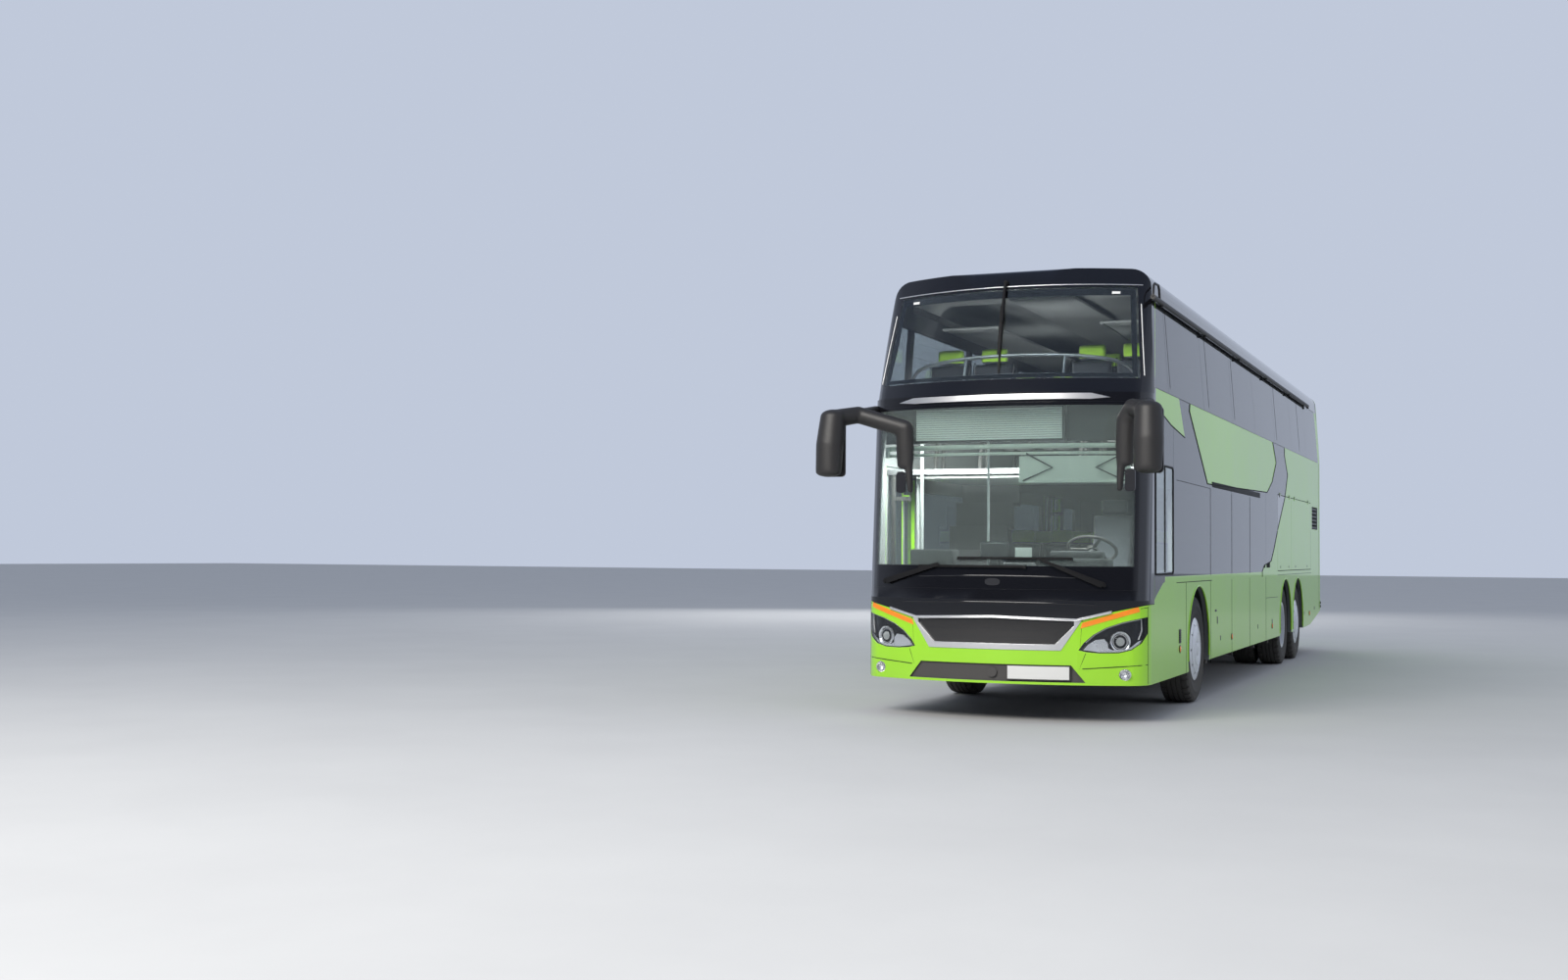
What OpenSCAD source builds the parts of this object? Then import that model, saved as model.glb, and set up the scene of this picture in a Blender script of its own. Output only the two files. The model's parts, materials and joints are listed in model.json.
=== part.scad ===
// Three-axle double-decker touring coach.
// +X points forward, +Y to the coach's left, +Z up. The ground is z = 0.
// Stations along the coach are distances behind the nose.

/* [Body] */
// Length of the body from nose to tail
body_length = 13935; // [13000:5:14900]
// Width over the side walls
body_width = 2550; // [2450:5:2650]
// Height of the roof above the ground
body_height = 4000; // [3850:5:4150]
// Thickness of a side wall, door or flap
wall_t = 50; // [40:1:60]
// Thickness of the bonded glass
glass_t = 8; // [6:1:12]
// Gap between two panels
seam = 5; // [4:1:8]
// Gap round a door or a flap
door_gap = 9; // [8:1:12]
// How far the mirrors reach ahead of the nose
mirror_reach = 370; // [300:5:420]

/* [Front] */
// Radius of the bow across the front
bow_r = 2600; // [2300:50:3200]
// Radius of the front corners seen from above
corner_r = 250; // [200:10:280]
// Height where the front starts to lean back
lean_z = 1050; // [1040:5:1080]
// Lean of the lower windscreen
lower_lean = 4.4; // [3:0.2:6]
// Roof above the height where the upper deck's front starts
brow_drop = 1150; // [1130:5:1160]
// Lean of the upper windscreen
upper_lean = 21.5; // [19:0.5:24]
// Radius of the roof's front edge
dome_r = 150; // [120:10:180]

/* [Roof and sides] */
// Roof above the height where the sides start to lean in
shoulder_drop = 1100; // [1080:5:1120]
// How far the sides lean in at the roof edge
tumble = 70; // [40:5:90]
// Radius of the roof edge
cantrail_r = 170; // [150:5:200]
// Rise of the roof from its edge to its middle
crown = 12; // [5:1:20]
// Lower edge of the body
skirt_z = 390; // [370:5:410]
// Lower edge of the front bumper
bumper_z = 330; // [310:5:350]
// Station of the front edge of the side walls
wall_front = 630; // [620:5:660]

/* [Windows] */
// Sill of the lower deck's glass
lower_sill = 1250; // [1230:5:1270]
// Roof above the sill of the upper deck's glass
sill_drop = 1095; // [1080:5:1100]
// Roof above the upper edge of the upper deck's glass
head_drop = 300; // [280:5:320]
// Ceiling of the lower deck above the heads of its windows
lower_head_gap = 130; // [100:5:160]
// Height of the clear part of an upper window
upper_clear_h = 620; // [580:5:640]
// Width of a window pillar
pillar_w = 90; // [70:5:120]

/* [Decks] */
// Lower deck's floor
lower_floor_z = 500; // [480:5:520]
// Roof above the upper deck's floor
upper_deck_drop = 1780; // [1760:5:1800]
// Thickness of a floor
floor_t = 50; // [40:1:55]
// Thickness of a bulkhead
bulkhead_t = 40; // [30:1:50]
// Width of an aisle
aisle_w = 480; // [440:5:560]
// Height of the luggage bay's floor
bay_floor_z = 1215; // [1205:1:1225]

/* [Axles] */
// Front axle behind the nose
front_overhang = 2850; // [2750:5:2900]
// Drive axle to tag axle
tag_spacing = 1350; // [1340:5:1400]
// Tail behind the tag axle
tail_overhang = 3035; // [2950:5:3100]
// Kingpin's distance from the body's side
kingpin_in = 345; // [335:1:355]
// Radius of a kingpin
kingpin_r = 22; // [18:1:26]
// Running clearance of a pin in its bore
pin_clear = 0.05; // [0.03:0.01:0.1]

/* [Wheels] */
// Outer radius of a tyre
tyre_r = 522; // [510:1:525]
// Width of a tyre
tyre_w = 298; // [280:1:305]
// Radius of a rim
rim_r = 286; // [280:1:292]
// Middle of a single tyre from the body's side
track_in = 175; // [170:1:185]
// Distance between the twin tyres' middles
twin_gap = 334; // [325:1:340]
// Radius of the wheel arches
arch_r = 600; // [590:1:610]
// Height of the wheel arches' centre
arch_z = 545; // [540:1:550]

/* [Doors and flaps] */
// Station of the front door's front edge
front_door_x = 700; // [700:5:720]
// Middle door's front edge ahead of the drive axle
mid_door_lead = 3150; // [3130:5:3170]
// Width of a doorway
door_w = 900; // [860:5:910]
// Lower edge of a door
door_z0 = 400; // [395:5:410]
// Length of a door's swing arm
door_arm = 407; // [400:1:412]
// Distance of a door's column from the doorway's front edge
column_in = 44; // [40:1:50]
// Distance of a door's column from the body's side
column_side = 105; // [100:1:110]
// Radius of a door's column
column_r = 22; // [18:1:25]
// Radius of a door's pivot pins
door_pin_r = 10; // [8:1:12]
// Lower edge of the luggage flaps
flap_z0 = 1258; // [1255:1:1265]
// Engine lid's edges from the body's sides
lid_side = 395; // [380:5:410]
// Lower edge of the engine lid
lid_z0 = 660; // [650:5:680]
// Upper deck's floor above the engine lid
lid_drop = 460; // [450:5:480]

/* [Seats] */
// Distance between two rows
seat_pitch = 790; // [770:5:820]
// Free width beside a seat for two, wall side and aisle side together
bench_gap = 105; // [90:5:120]

/* [Hidden] */

$fn = 64;
// Clearance between two pieces that are fitted together
fit = 0.3;
half_w = body_width / 2;
nose_x = (body_length - mirror_reach) / 2;
brow_z = body_height - brow_drop;
shoulder_z = body_height - shoulder_drop;
upper_sill = body_height - sill_drop;
upper_head = body_height - head_drop;
upper_floor_z = body_height - upper_deck_drop;
ceiling_z = upper_floor_z - floor_t;
drive_station = body_length - tail_overhang - tag_spacing;
tag_station = drive_station + tag_spacing;
wheel_z = tyre_r;
track_y = half_w - track_in;
twin_y = track_y - 10;
kingpin_y = half_w - kingpin_in;
column_y = half_w - column_side;
rail_y = half_w - 855;
rail_w = 80;
rail_z0 = 305;
rear_rail_z = 1010;
rear_corner_r = 150;
bulkhead_x = drive_station - 1250;
bay_rear_x = body_length - 1415;
mid_door_x = drive_station - mid_door_lead;
door_z1 = upper_floor_z + 25;
flap_z1 = door_z1;
flap_x0 = drive_station - 800;
flap_x1 = drive_station + 620;
flap_x2 = body_length - 1435;
lid_y = half_w - lid_side;
lid_z1 = upper_floor_z - lid_drop;
stair_y = half_w - 685;
driver_y = half_w - 635;
driver_z = 760;
bench_w = half_w - wall_t - aisle_w / 2 - bench_gap;
brow_setback = (brow_z - lean_z) * tan(lower_lean);
// Reach of the front's outlines behind the nose
reach = 3000;

// x of a station behind the nose
function at(station) = nose_x - station;

// The sides' outlines were drawn for these axles, these sills and this half width
drawn_front = 2850;
drawn_drive = 9550;
drawn_sills = [1250, 2905];
drawn_half = 1275;
function along(s) =
    s < drawn_front ? s - drawn_front + front_overhang
    : s > drawn_drive ? s - drawn_drive + drive_station
    : front_overhang + (s - drawn_front) * (drive_station - front_overhang) / (drawn_drive - drawn_front);
function waist(z) =
    lower_sill + (z - drawn_sills[0]) * (upper_sill - lower_sill) / (drawn_sills[1] - drawn_sills[0]);
function across(y) = y * half_w / drawn_half;
function field(pts) = [for (p = pts) [along(p[0]), waist(p[1])]];
function wide(pts) = [for (p = pts) [across(p[0]), p[1]]];
// Outline a little smaller, about the middle and the height z
function shrunk(pts, z) = [for (p = pts) [p[0] * 0.999, z + (p[1] - z) * 0.999]];

function arc(cx, cy, r, a0, a1, steps) =
    [for (i = [0:steps]) let (a = a0 + (a1 - a0) * i / steps) [cx + r * cos(a), cy + r * sin(a)]];
function mirrored(pts) = concat(pts, [for (i = [len(pts) - 1:-1:0]) [pts[i][0], -pts[i][1]]]);

// Outline of the front seen from above, nose at x = 0, moved in by inset
function corner_x() = -bow_r + sqrt(pow(bow_r - corner_r, 2) - pow(half_w - corner_r, 2));
function plan_points(inset) =
    let (yc = half_w - corner_r, xc = corner_x(), turn = atan2(yc, xc + bow_r))
    mirrored(concat([[-reach, half_w - inset]],
        arc(xc, yc, corner_r - inset, 90, turn, 8),
        arc(-bow_r, 0, bow_r - inset, turn * 0.8, turn * 0.1, 4)));

// Cross-section of the body in z and y, moved in by inset
function section_points(inset) =
    let (top = body_height - crown, yc = half_w - tumble - cantrail_r, zc = top - cantrail_r)
    mirrored(concat([[0, half_w - inset], [shoulder_z, half_w - inset]],
        [for (q = arc(yc, zc, cantrail_r - inset, 4, 90, 7)) [q[1], q[0]]],
        [[body_height - inset - crown * 0.25, yc * 0.5]]));

module section_prism(inset, x0, x1) {
    translate([at(x1), 0, 0]) rotate([0, -90, 0]) mirror([0, 0, 1])
        linear_extrude(x1 - x0) polygon(section_points(inset));
}

module box(station0, station1, y0, y1, z0, z1) {
    translate([at(station1), y0, z0]) cube([station1 - station0, y1 - y0, z1 - z0]);
}

// Box inside the side walls
module inner_box(station0, station1, z0, z1) {
    box(station0, station1, -half_w + wall_t + fit, half_w - wall_t - fit, z0, z1);
}

// Prism of the front's outline, leaning back by lean from height z0
module front_prism(inset, lean, setback, z0, z1) {
    back = reach - 900;
    intersection() {
        translate([nose_x - setback, 0, z0]) rotate([0, -lean, 0]) translate([0, 0, -400])
            linear_extrude(z1 - z0 + 1600) polygon(plan_points(inset));
        translate([at(back), -half_w - 50, z0]) cube([back + 1000, body_width + 100, z1 - z0]);
    }
}

module front_low(inset, z0, z1) { front_prism(inset, 0, 0, z0, z1); }
module front_mid(inset, z1) { front_prism(inset, lower_lean, 0, lean_z, z1); }
module front_upper(inset) { front_prism(inset, upper_lean, brow_setback, brow_z, body_height + 10); }

// Side view of the roof's rounded front edge
module dome_profile(inset) {
    zc = body_height - dome_r;
    xc = -brow_setback - (zc - brow_z) * tan(upper_lean) - dome_r / cos(upper_lean);
    edge = arc(xc, zc, dome_r - inset, 90, upper_lean, 6);
    translate([nose_x, half_w + 50, 0]) rotate([90, 0, 0]) linear_extrude(body_width + 100)
        polygon(concat([[-reach, brow_z - 200], [-reach, body_height - inset]], edge,
            [[400, brow_z - 200]]));
}

// Join between the upper front and the sides, as station and z
roof_join = 1250;
guard_z = upper_head + 60;
function lean_station(z) = wall_front + max(0, z - brow_z) * tan(upper_lean);
crown_side = [[-300, brow_z], [wall_front, brow_z], [lean_station(guard_z), guard_z],
    [roof_join, guard_z], [roof_join, body_height + 50], [-300, body_height + 50]];

module front_top(inset) {
    intersection() {
        front_upper(inset);
        section_prism(inset, -200, 2600);
        dome_profile(inset);
    }
}

// Extrudes a y-z outline along x through the front, from a station forward
module through_front(back = wall_front) {
    translate([at(back), 0, 0]) rotate([90, 0, 90]) linear_extrude(1400) children();
}
crown_back = 1100;

// Extrudes a station-z outline through one side wall
module through_side(side, depth = 400) {
    translate([nose_x, side * (half_w + 20), 0]) rotate([90, 0, 0]) mirror([1, 0, 0])
        translate([0, 0, side > 0 ? 0 : -depth]) linear_extrude(depth) children();
}

// Half outline of the join between black mask and green bumper, as y and z
join = wide([[0, 905], [720, 885], [985, 955], [1320, 1030]]);
join_end = join[3][0];
function both_sides(half) = concat([for (i = [len(half) - 1:-1:1]) [-half[i][0], half[i][1]]], half);

module below_join(drop) {
    polygon(concat([for (p = both_sides(join)) [p[0], p[1] - drop]], [[join_end, 0], [-join_end, 0]]));
}

// Openings of the two windscreens as half widths at their sill and head
lower_screen = [[half_w - 80, 1140], [half_w - 80, brow_z - 85]];
upper_screen = [[half_w - 95, brow_z + 125], [half_w - 175, body_height - 185]];
module screen(edges, grow) {
    y0 = edges[0][0] + grow;
    z0 = edges[0][1] - grow;
    y1 = edges[1][0] + grow;
    z1 = edges[1][1] + grow;
    polygon([[-y0, z0], [y0, z0], [y1, z1], [-y1, z1]]);
}

module front_shell_mid() {
    intersection() {
        difference() {
            union() { front_low(0, 600, lean_z); front_mid(0, brow_z); }
            union() { front_low(wall_t, 500, lean_z); front_mid(wall_t, brow_z + 1); }
        }
        box(-200, wall_front, -half_w - 10, half_w + 10, 700, brow_z);
    }
}

module front_mask() {
    color([0.03, 0.03, 0.035]) difference() {
        front_shell_mid();
        through_front() below_join(0);
        through_front() screen(lower_screen, 0);
    }
}

module front_crown() {
    color([0.03, 0.03, 0.035]) difference() {
        intersection() {
            difference() { front_top(0); front_top(wall_t); }
            through_side(1, body_width + 60) polygon(crown_side);
        }
        through_front(crown_back) screen(upper_screen, 0);
    }
}

module windscreens() {
    color([0.2, 0.25, 0.27, 0.5]) {
        intersection() {
            difference() { front_mid(0, brow_z); front_mid(glass_t, brow_z + 1); }
            through_front() screen(lower_screen, -fit);
        }
        intersection() {
            difference() { front_top(0); front_top(glass_t); }
            through_front(crown_back) screen(upper_screen, -fit);
        }
    }
}

// Outlines on the bumper, as y and z
lamp_outline = wide([[733, 628], [775, 690], [850, 760], [950, 820], [1080, 868], [1262, 912],
    [1262, 770], [1225, 690], [1150, 632], [1050, 606], [900, 604], [800, 612]]);
lamp_middle = [across(1000), 745];
indicator_outline = wide([[757, 822], [1212, 962], [1203, 1000], [768, 860]]);
chrome_outline = wide([[-762, 1000], [-762, 883], [-590, 622], [590, 622], [762, 883], [762, 1000]]);
grille_outline = wide([[-698, 868], [-698, 836], [-541, 674], [541, 674], [698, 836], [698, 868],
    [0, 886]]);
intake_outline = wide([[-672, 498], [672, 498], [790, 352], [-790, 352]]);
fog_y = half_w - 175;
fog_z = 423;
fog_r = 45;
// Sockets for a towing eye
tow_r = 18;
tow_out_r = 30;
tow_depth = 120;
front_tow_z = 420;
rear_tow_z = 500;

// Outline on one side of the front, a little larger or smaller about its middle
module side_outline(side, pts, middle, grow) {
    polygon([for (p = pts)
        [side * (middle[0] + (p[0] - middle[0]) * (1 + grow)), middle[1] + (p[1] - middle[1]) * (1 + grow)]]);
}
module lamp_2d(side, grow) { side_outline(side, lamp_outline, lamp_middle, grow); }
module indicator_2d(side, grow) { side_outline(side, indicator_outline, [across(985), 911], grow); }
module fog_round(side, r) {
    translate([at(wall_front), side * fog_y, fog_z]) rotate([0, 90, 0]) cylinder(r = r, h = 900);
}

module front_bumper() {
    color([0.45, 0.78, 0.1]) difference() {
        intersection() {
            difference() { front_low(0, bumper_z, lean_z); front_low(wall_t, bumper_z - 1, lean_z + 1); }
            box(-200, wall_front, -half_w - 10, half_w + 10, bumper_z, lean_z);
            through_front() below_join(seam);
        }
        for (s = [-1, 1]) {
            through_front() lamp_2d(s, 0);
            through_front() indicator_2d(s, 0);
            fog_round(s, fog_r + 1);
        }
        through_front() polygon(chrome_outline);
        through_front() polygon(intake_outline);
    }
}

// Layer of the bumper's shell between two depths
module front_layer(t0, t1) {
    difference() { front_low(t0, bumper_z + 1, lean_z - 1); front_low(t1, bumper_z, lean_z); }
}

// Panels of the grille and the lower intake
module front_trim() {
    color([0.15, 0.15, 0.16]) {
        intersection() {
            front_layer(10, 40);
            through_front() polygon(shrunk(grille_outline, 770));
        }
        intersection() {
            front_layer(18, 40);
            through_front() difference() {
                polygon(shrunk(intake_outline, 400));
                translate([0, front_tow_z]) circle(r = tow_out_r + 3);
            }
        }
    }
}

// Bright frame round the grille, bar along the join and strip at the brow
bar_outline = wide([[994, 966], [720, 896], [0, 916], [-720, 896], [-994, 966],
    [-994, 944], [-720, 872], [0, 892], [720, 872], [994, 944]]);
frame_outer = wide([[-758, 878], [-589.5, 622.6], [589.5, 622.6], [758, 878]]);
frame_inner = wide([[-698.5, 890], [-698.5, 836], [-541.3, 673.6], [541.3, 673.6], [698.5, 836],
    [698.5, 890]]);
brow_outline = [for (p = wide([[-965, 50], [-810, 12], [810, 12], [965, 50], [800, 64], [-800, 64]]))
    [p[0], brow_z - p[1]]];
module front_chrome() {
    color([0.8, 0.8, 0.82]) {
        difference() {
            intersection() {
                front_layer(-7, 34);
                through_front() polygon(frame_outer);
            }
            through_front() polygon(frame_inner);
        }
        intersection() {
            front_layer(-14, -fit);
            through_front() polygon(bar_outline);
        }
        intersection() {
            difference() { front_mid(-14, brow_z); front_mid(-fit, brow_z + 1); }
            through_front() polygon(brow_outline);
        }
    }
}

// Slot of a tail lamp
tail_lamp_y = half_w - 225;
tail_lamp_w = 110;
tail_lamp_z = [lid_z1 - 860, lid_z1 - 160];
module tail_lamp(side, x0, x1, grow) {
    box(x0, x1, side * tail_lamp_y - tail_lamp_w / 2 - grow, side * tail_lamp_y + tail_lamp_w / 2 + grow,
        tail_lamp_z[0] - grow, tail_lamp_z[1] + grow);
}

module lamps() {
    color([0.9, 0.9, 0.92]) for (s = [-1, 1]) {
        intersection() {
            front_layer(4, 44);
            through_front() lamp_2d(s, -0.002);
        }
        intersection() {
            front_layer(4, 44);
            through_front() indicator_2d(s, -0.002);
        }
        intersection() {
            front_layer(4, 34);
            fog_round(s, fog_r);
        }
    }
    color([0.7, 0.05, 0.05]) for (s = [-1, 1]) tail_lamp(s, body_length - 42, body_length - 2, 0);
}

// Lower edge of the sides as station and z
skirt = [[wall_front, bumper_z], [along(2180), bumper_z], [along(3550), skirt_z],
    [along(11080), skirt_z + 15], [along(12420), skirt_z + 40], [body_length, 620]];
// Green field between the decks, and the one behind the front corner
waist_field = field([[2350, 2905], [2330, 2830], [3350, 2170], [7760, 2240], [8220, 2390], [8610, 2660],
    [8280, 2905]]);
corner_field = field([[660, 2905], [660, 2750], [1170, 2670], [1400, 2630], [2090, 2560],
    [1790, 2905]]);
// Front edge of the green tail
tail_field = field([[9460, 2905], [9460, 2800], [9790, 2550], [9490, 2230], [8390, 1540], [8110, 1380],
    [7480, 1330], [7300, 1250], [7300, 1190], [14000, 1190], [14000, 2905]]);
lower_glass_end = drive_station + 350;
upper_glass_end = body_length - 385;

function doors_on(side) = side > 0 ? [] : [front_door_x, mid_door_x];

// Glass of one side, as station and z
module glass_field(side) {
    difference() {
        union() {
            polygon([[wall_front + 20, lower_sill], [lean_station(upper_sill) + 20, upper_sill],
                [lower_glass_end, upper_sill], [lower_glass_end, lower_sill]]);
            polygon([[lean_station(upper_sill) + 20, upper_sill],
                [lean_station(upper_head) + 20, upper_head],
                [upper_glass_end, upper_head], [upper_glass_end, upper_sill]]);
        }
        polygon(waist_field);
        polygon(corner_field);
        polygon(tail_field);
        for (x = doors_on(side))
            translate([x - door_gap, 0]) square([door_w + 2 * door_gap, door_z1 + door_gap]);
        translate([flap_x0 - door_gap, 0]) square([body_length, flap_z1 + door_gap]);
    }
}

// Seams between the panes, and the clear parts between the pillars
lower_clear_z = lower_sill + 50;
lower_clear_h = ceiling_z - lower_head_gap - lower_clear_z;
upper_clear_z = upper_sill + 70;
first_seam = wall_front + 20;
seams_left = [first_seam, 1515, along(3510), along(4900), along(6250), bulkhead_x - 670, lower_glass_end];
seams_right = [first_seam, front_door_x + door_w + 60, along(3510), along(4900), mid_door_x - 60,
    mid_door_x + door_w + 60, lower_glass_end];
front_pane_end = 1300;
seams_upper = concat([first_seam], [for (f = [0, 0.1527, 0.3045, 0.4473, 0.5902, 0.7331, 0.8759, 1])
    front_pane_end + f * (upper_glass_end - front_pane_end)]);
function lower_seams(side) = side > 0 ? seams_left : seams_right;
bay_start = bulkhead_x - 250;

module clear_field(side) {
    xs = lower_seams(side);
    for (i = [0:len(xs) - 2]) {
        x1 = min(xs[i + 1], bay_start) - pillar_w / 2;
        x0 = xs[i] + pillar_w / 2;
        if (side > 0 || (i != 0 && i != 4))
            translate([x0, lower_clear_z]) square([x1 - x0, lower_clear_h]);
    }
    for (i = [1:len(seams_upper) - 2])
        translate([seams_upper[i] + pillar_w / 2, upper_clear_z])
            square([seams_upper[i + 1] - seams_upper[i] - pillar_w, upper_clear_h]);
    clear_top = upper_clear_z + upper_clear_h;
    polygon([[lean_station(upper_clear_z) + 60, upper_clear_z], [lean_station(clear_top) + 60, clear_top],
        [front_pane_end - pillar_w / 2, clear_top], [front_pane_end - pillar_w / 2, upper_clear_z]]);
}

module arch_cut(side) {
    for (x = [front_overhang, drive_station, tag_station])
        translate([at(x), side * (half_w + 60), arch_z]) rotate([side * 90, 0, 0])
            cylinder(r = arch_r, h = 200, $fn = 96);
}

module side_shell(inset0, inset1, x0, x1) {
    difference() {
        section_prism(inset0, x0, x1);
        section_prism(inset1, x0 - 1, x1 + 1);
    }
}

// Air intake of the engine: front station, width and heights
intake_x = body_length - 1255;
intake_w = 740;
intake_z = [ceiling_z - 310, ceiling_z + 30];
slats = 6;

module wall(side) {
    color([0.45, 0.78, 0.1]) difference() {
        intersection() {
            side_shell(0, wall_t, wall_front, body_length - rear_corner_r);
            translate([at(body_length), side > 0 ? half_w - 200 : -half_w - 10, 0])
                cube([body_length, 210, guard_z]);
            through_side(side) polygon(concat(skirt, [[body_length, body_height],
                [lean_station(body_height) + 1, body_height], [wall_front + 1, brow_z]]));
        }
        // The glass lies in a step as deep as itself
        intersection() {
            side_shell(-10, glass_t + fit, wall_front, body_length);
            through_side(side) glass_field(side);
        }
        through_side(side) clear_field(side);
        arch_cut(side);
        for (x = doors_on(side))
            through_side(side) translate([x - door_gap, -10])
                square([door_w + 2 * door_gap, door_z1 + door_gap + 10]);
        through_side(side) translate([flap_x0 - door_gap, flap_z0 - door_gap])
            square([flap_x2 - flap_x0 + 2 * door_gap, flap_z1 - flap_z0 + 2 * door_gap]);
        through_side(side) translate([intake_x, intake_z[0]]) square([intake_w, intake_z[1] - intake_z[0]]);
    }
    for (f = [fore, aft]) color([0.45, 0.78, 0.1]) at_side_hinges(side, f[0], f[1]) hinge_fixed();
    color([0.08, 0.08, 0.08]) for (i = [0:slats - 1])
        translate([at(intake_x + intake_w), side * (half_w - wall_t / 2) - 15, intake_z[0] + 12 + i * 56])
            cube([intake_w, 30, 34]);
}

module wall_left() { wall(1); }
module wall_right() { wall(-1); }

module side_windows() {
    color([0.1, 0.12, 0.13, 0.6]) for (side = [-1, 1]) intersection() {
        side_shell(0, glass_t, wall_front, body_length);
        through_side(side) difference() {
            glass_field(side);
            for (x = lower_seams(side)) translate([x - seam / 2, 0]) square([seam, upper_sill]);
            for (x = seams_upper) translate([x - seam / 2, upper_sill]) square([seam, body_height]);
            translate([0, upper_sill - seam / 2]) square([body_length, seam]);
        }
    }
}

module roof() {
    color([0.45, 0.78, 0.1]) intersection() {
        side_shell(0, wall_t, roof_join + 1, body_length - rear_corner_r);
        translate([at(body_length), -half_w, guard_z + fit]) cube([body_length, body_width, body_height]);
    }
}

// Outline of the tail seen from above
function tail_points(inset) =
    let (r = rear_corner_r, x = -body_length)
    mirrored(concat([[x + r, half_w - inset]], arc(x + r, half_w - r, r - inset, 90, 180, 6)));

// Rear window of the upper deck, moved in by inset
module rear_opening(x0, x1, inset) {
    y = half_w - 325 - inset;
    box(body_length - x0, body_length - x1, -y, y, brow_z + 100 + inset, body_height - 400 - inset);
}

module rear_wall() {
    color([0.45, 0.78, 0.1]) difference() {
        intersection() {
            translate([nose_x, 0, 0]) difference() {
                linear_extrude(body_height) polygon(tail_points(0));
                translate([0, 0, -1]) linear_extrude(body_height + 2) polygon(tail_points(wall_t));
            }
            section_prism(0, body_length - 400, body_length + 10);
            through_side(1, body_width + 60) polygon([[body_length - 435, 570], [body_length + 65, 620],
                [body_length + 65, body_height + 100], [body_length - 435, body_height + 100]]);
        }
        // Doorway of the engine lid
        box(body_length - 200, body_length + 20, -lid_y - door_gap, lid_y + door_gap,
            lid_z0 - door_gap, lid_z1 + door_gap);
        rear_opening(200, -20, 0);
        for (s = [-1, 1]) tail_lamp(s, body_length - 100, body_length + 20, fit);
    }
    color([0.45, 0.78, 0.1]) at_lid_hinges() hinge_fixed();
    // Roof's end above the rear window
    end_y = half_w - 185;
    color([0.45, 0.78, 0.1]) intersection() {
        section_prism(0, body_length - rear_corner_r, body_length - wall_t - 0.5);
        box(body_length - rear_corner_r, body_length - wall_t - 0.5, -end_y, end_y,
            body_height - 60, body_height + 10);
    }
}

module rear_window() {
    color([0.1, 0.12, 0.13, 0.6]) rear_opening(28, 20, fit);
}

// Louvres of the engine lid
louvres = 8;
louvre_pitch = 62;
louvre_h = 34;
module engine_lid() {
    color([0.45, 0.78, 0.1]) at_lid_hinges() hinge_moving();
    color([0.45, 0.78, 0.1]) difference() {
        box(body_length - wall_t, body_length, -lid_y, lid_y, lid_z0, lid_z1);
        for (i = [0:louvres - 1]) {
            z = lid_z1 - 660 + i * louvre_pitch;
            box(body_length - 200, body_length + 20, -lid_y + 180, lid_y - 180, z, z + louvre_h);
        }
    }
}

// Outside hinges: barrels on one line, each with a plate on its panel
barrel_r = 5;
barrel_len = 60;
hinge_out = barrel_r + 0.5;
plate_t = 4;
plate_h = 30;
module hinge_barrel(len, up) {
    translate([-len / 2, 0, 0]) {
        rotate([0, 90, 0]) cylinder(r = barrel_r, h = len);
        translate([0, -hinge_out, up > 0 ? 0 : -plate_h]) cube([len, plate_t, plate_h]);
    }
}
// Moving half of a hinge at the origin, its panel below and the outside at +Y
module hinge_moving() { hinge_barrel(barrel_len, -1); }
module hinge_fixed() {
    for (s = [-1, 1]) translate([s * (barrel_len * 0.75 + fit), 0, 0]) hinge_barrel(barrel_len / 2, 1);
}
module at_side_hinges(side, x0, x1) {
    for (f = [0.15, 0.85])
        translate([at(x0 + (x1 - x0) * f), side * (half_w + hinge_out), flap_z1 + door_gap / 2])
            mirror([0, side > 0 ? 0 : 1, 0]) children();
}
module at_lid_hinges() {
    for (f = [-0.7, 0.7])
        translate([at(body_length + hinge_out), f * lid_y, lid_z1 + door_gap / 2]) rotate([0, 0, 90])
            children();
}

module flap(side, x0, x1) {
    color([0.45, 0.78, 0.1]) {
        box(x0, x1, side > 0 ? half_w - wall_t : -half_w,
            side > 0 ? half_w : -half_w + wall_t, flap_z0, flap_z1);
        at_side_hinges(side, x0, x1) hinge_moving();
    }
}
fore = [flap_x0, flap_x1 - seam / 2 - 1];
aft = [flap_x1 + seam / 2 + 1, flap_x2];
module flap_left_fore() { flap(1, fore[0], fore[1]); }
module flap_left_aft() { flap(1, aft[0], aft[1]); }
module flap_right_fore() { flap(-1, fore[0], fore[1]); }
module flap_right_aft() { flap(-1, aft[0], aft[1]); }

// Swing doors: heights and thickness of the two arms, and the pane's frame
arm_heights = [lower_floor_z + 200, ceiling_z - 220];
arm_t = 36;
arm_bulge = 120;
eye_r = 20;
pane_z0 = 1000;
pane_edge = 90;

module door_leaf(x0) {
    yi = half_w - wall_t;
    px = x0 + column_in + door_arm;
    color([0.45, 0.78, 0.1]) difference() {
        box(x0, x0 + door_w, -half_w, -yi, door_z0, door_z1);
        box(x0 + pane_edge, x0 + door_w - pane_edge, -half_w - 10, -yi + 10, pane_z0, door_z1 - pane_edge);
    }
    // Stile behind the pane with brackets that hold the pins
    color([0.2, 0.2, 0.2]) {
        box(px - 22, px + 22, -yi, -yi + 12, door_z0 + 60, ceiling_z - 20);
        for (z = arm_heights) {
            box(px - 18, px + 18, -yi, -column_y + 18, z + arm_t / 2 + 6, z + arm_t / 2 + 30);
            translate([at(px), -column_y, z - arm_t / 2]) cylinder(r = door_pin_r, h = arm_t + 20);
        }
    }
}

module door_pane(x0) {
    color([0.1, 0.12, 0.13, 0.6])
        box(x0 + pane_edge + fit, x0 + door_w - pane_edge - fit, -half_w + 6, -half_w + 6 + glass_t,
            pane_z0 + fit, door_z1 - pane_edge - fit);
}

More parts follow.
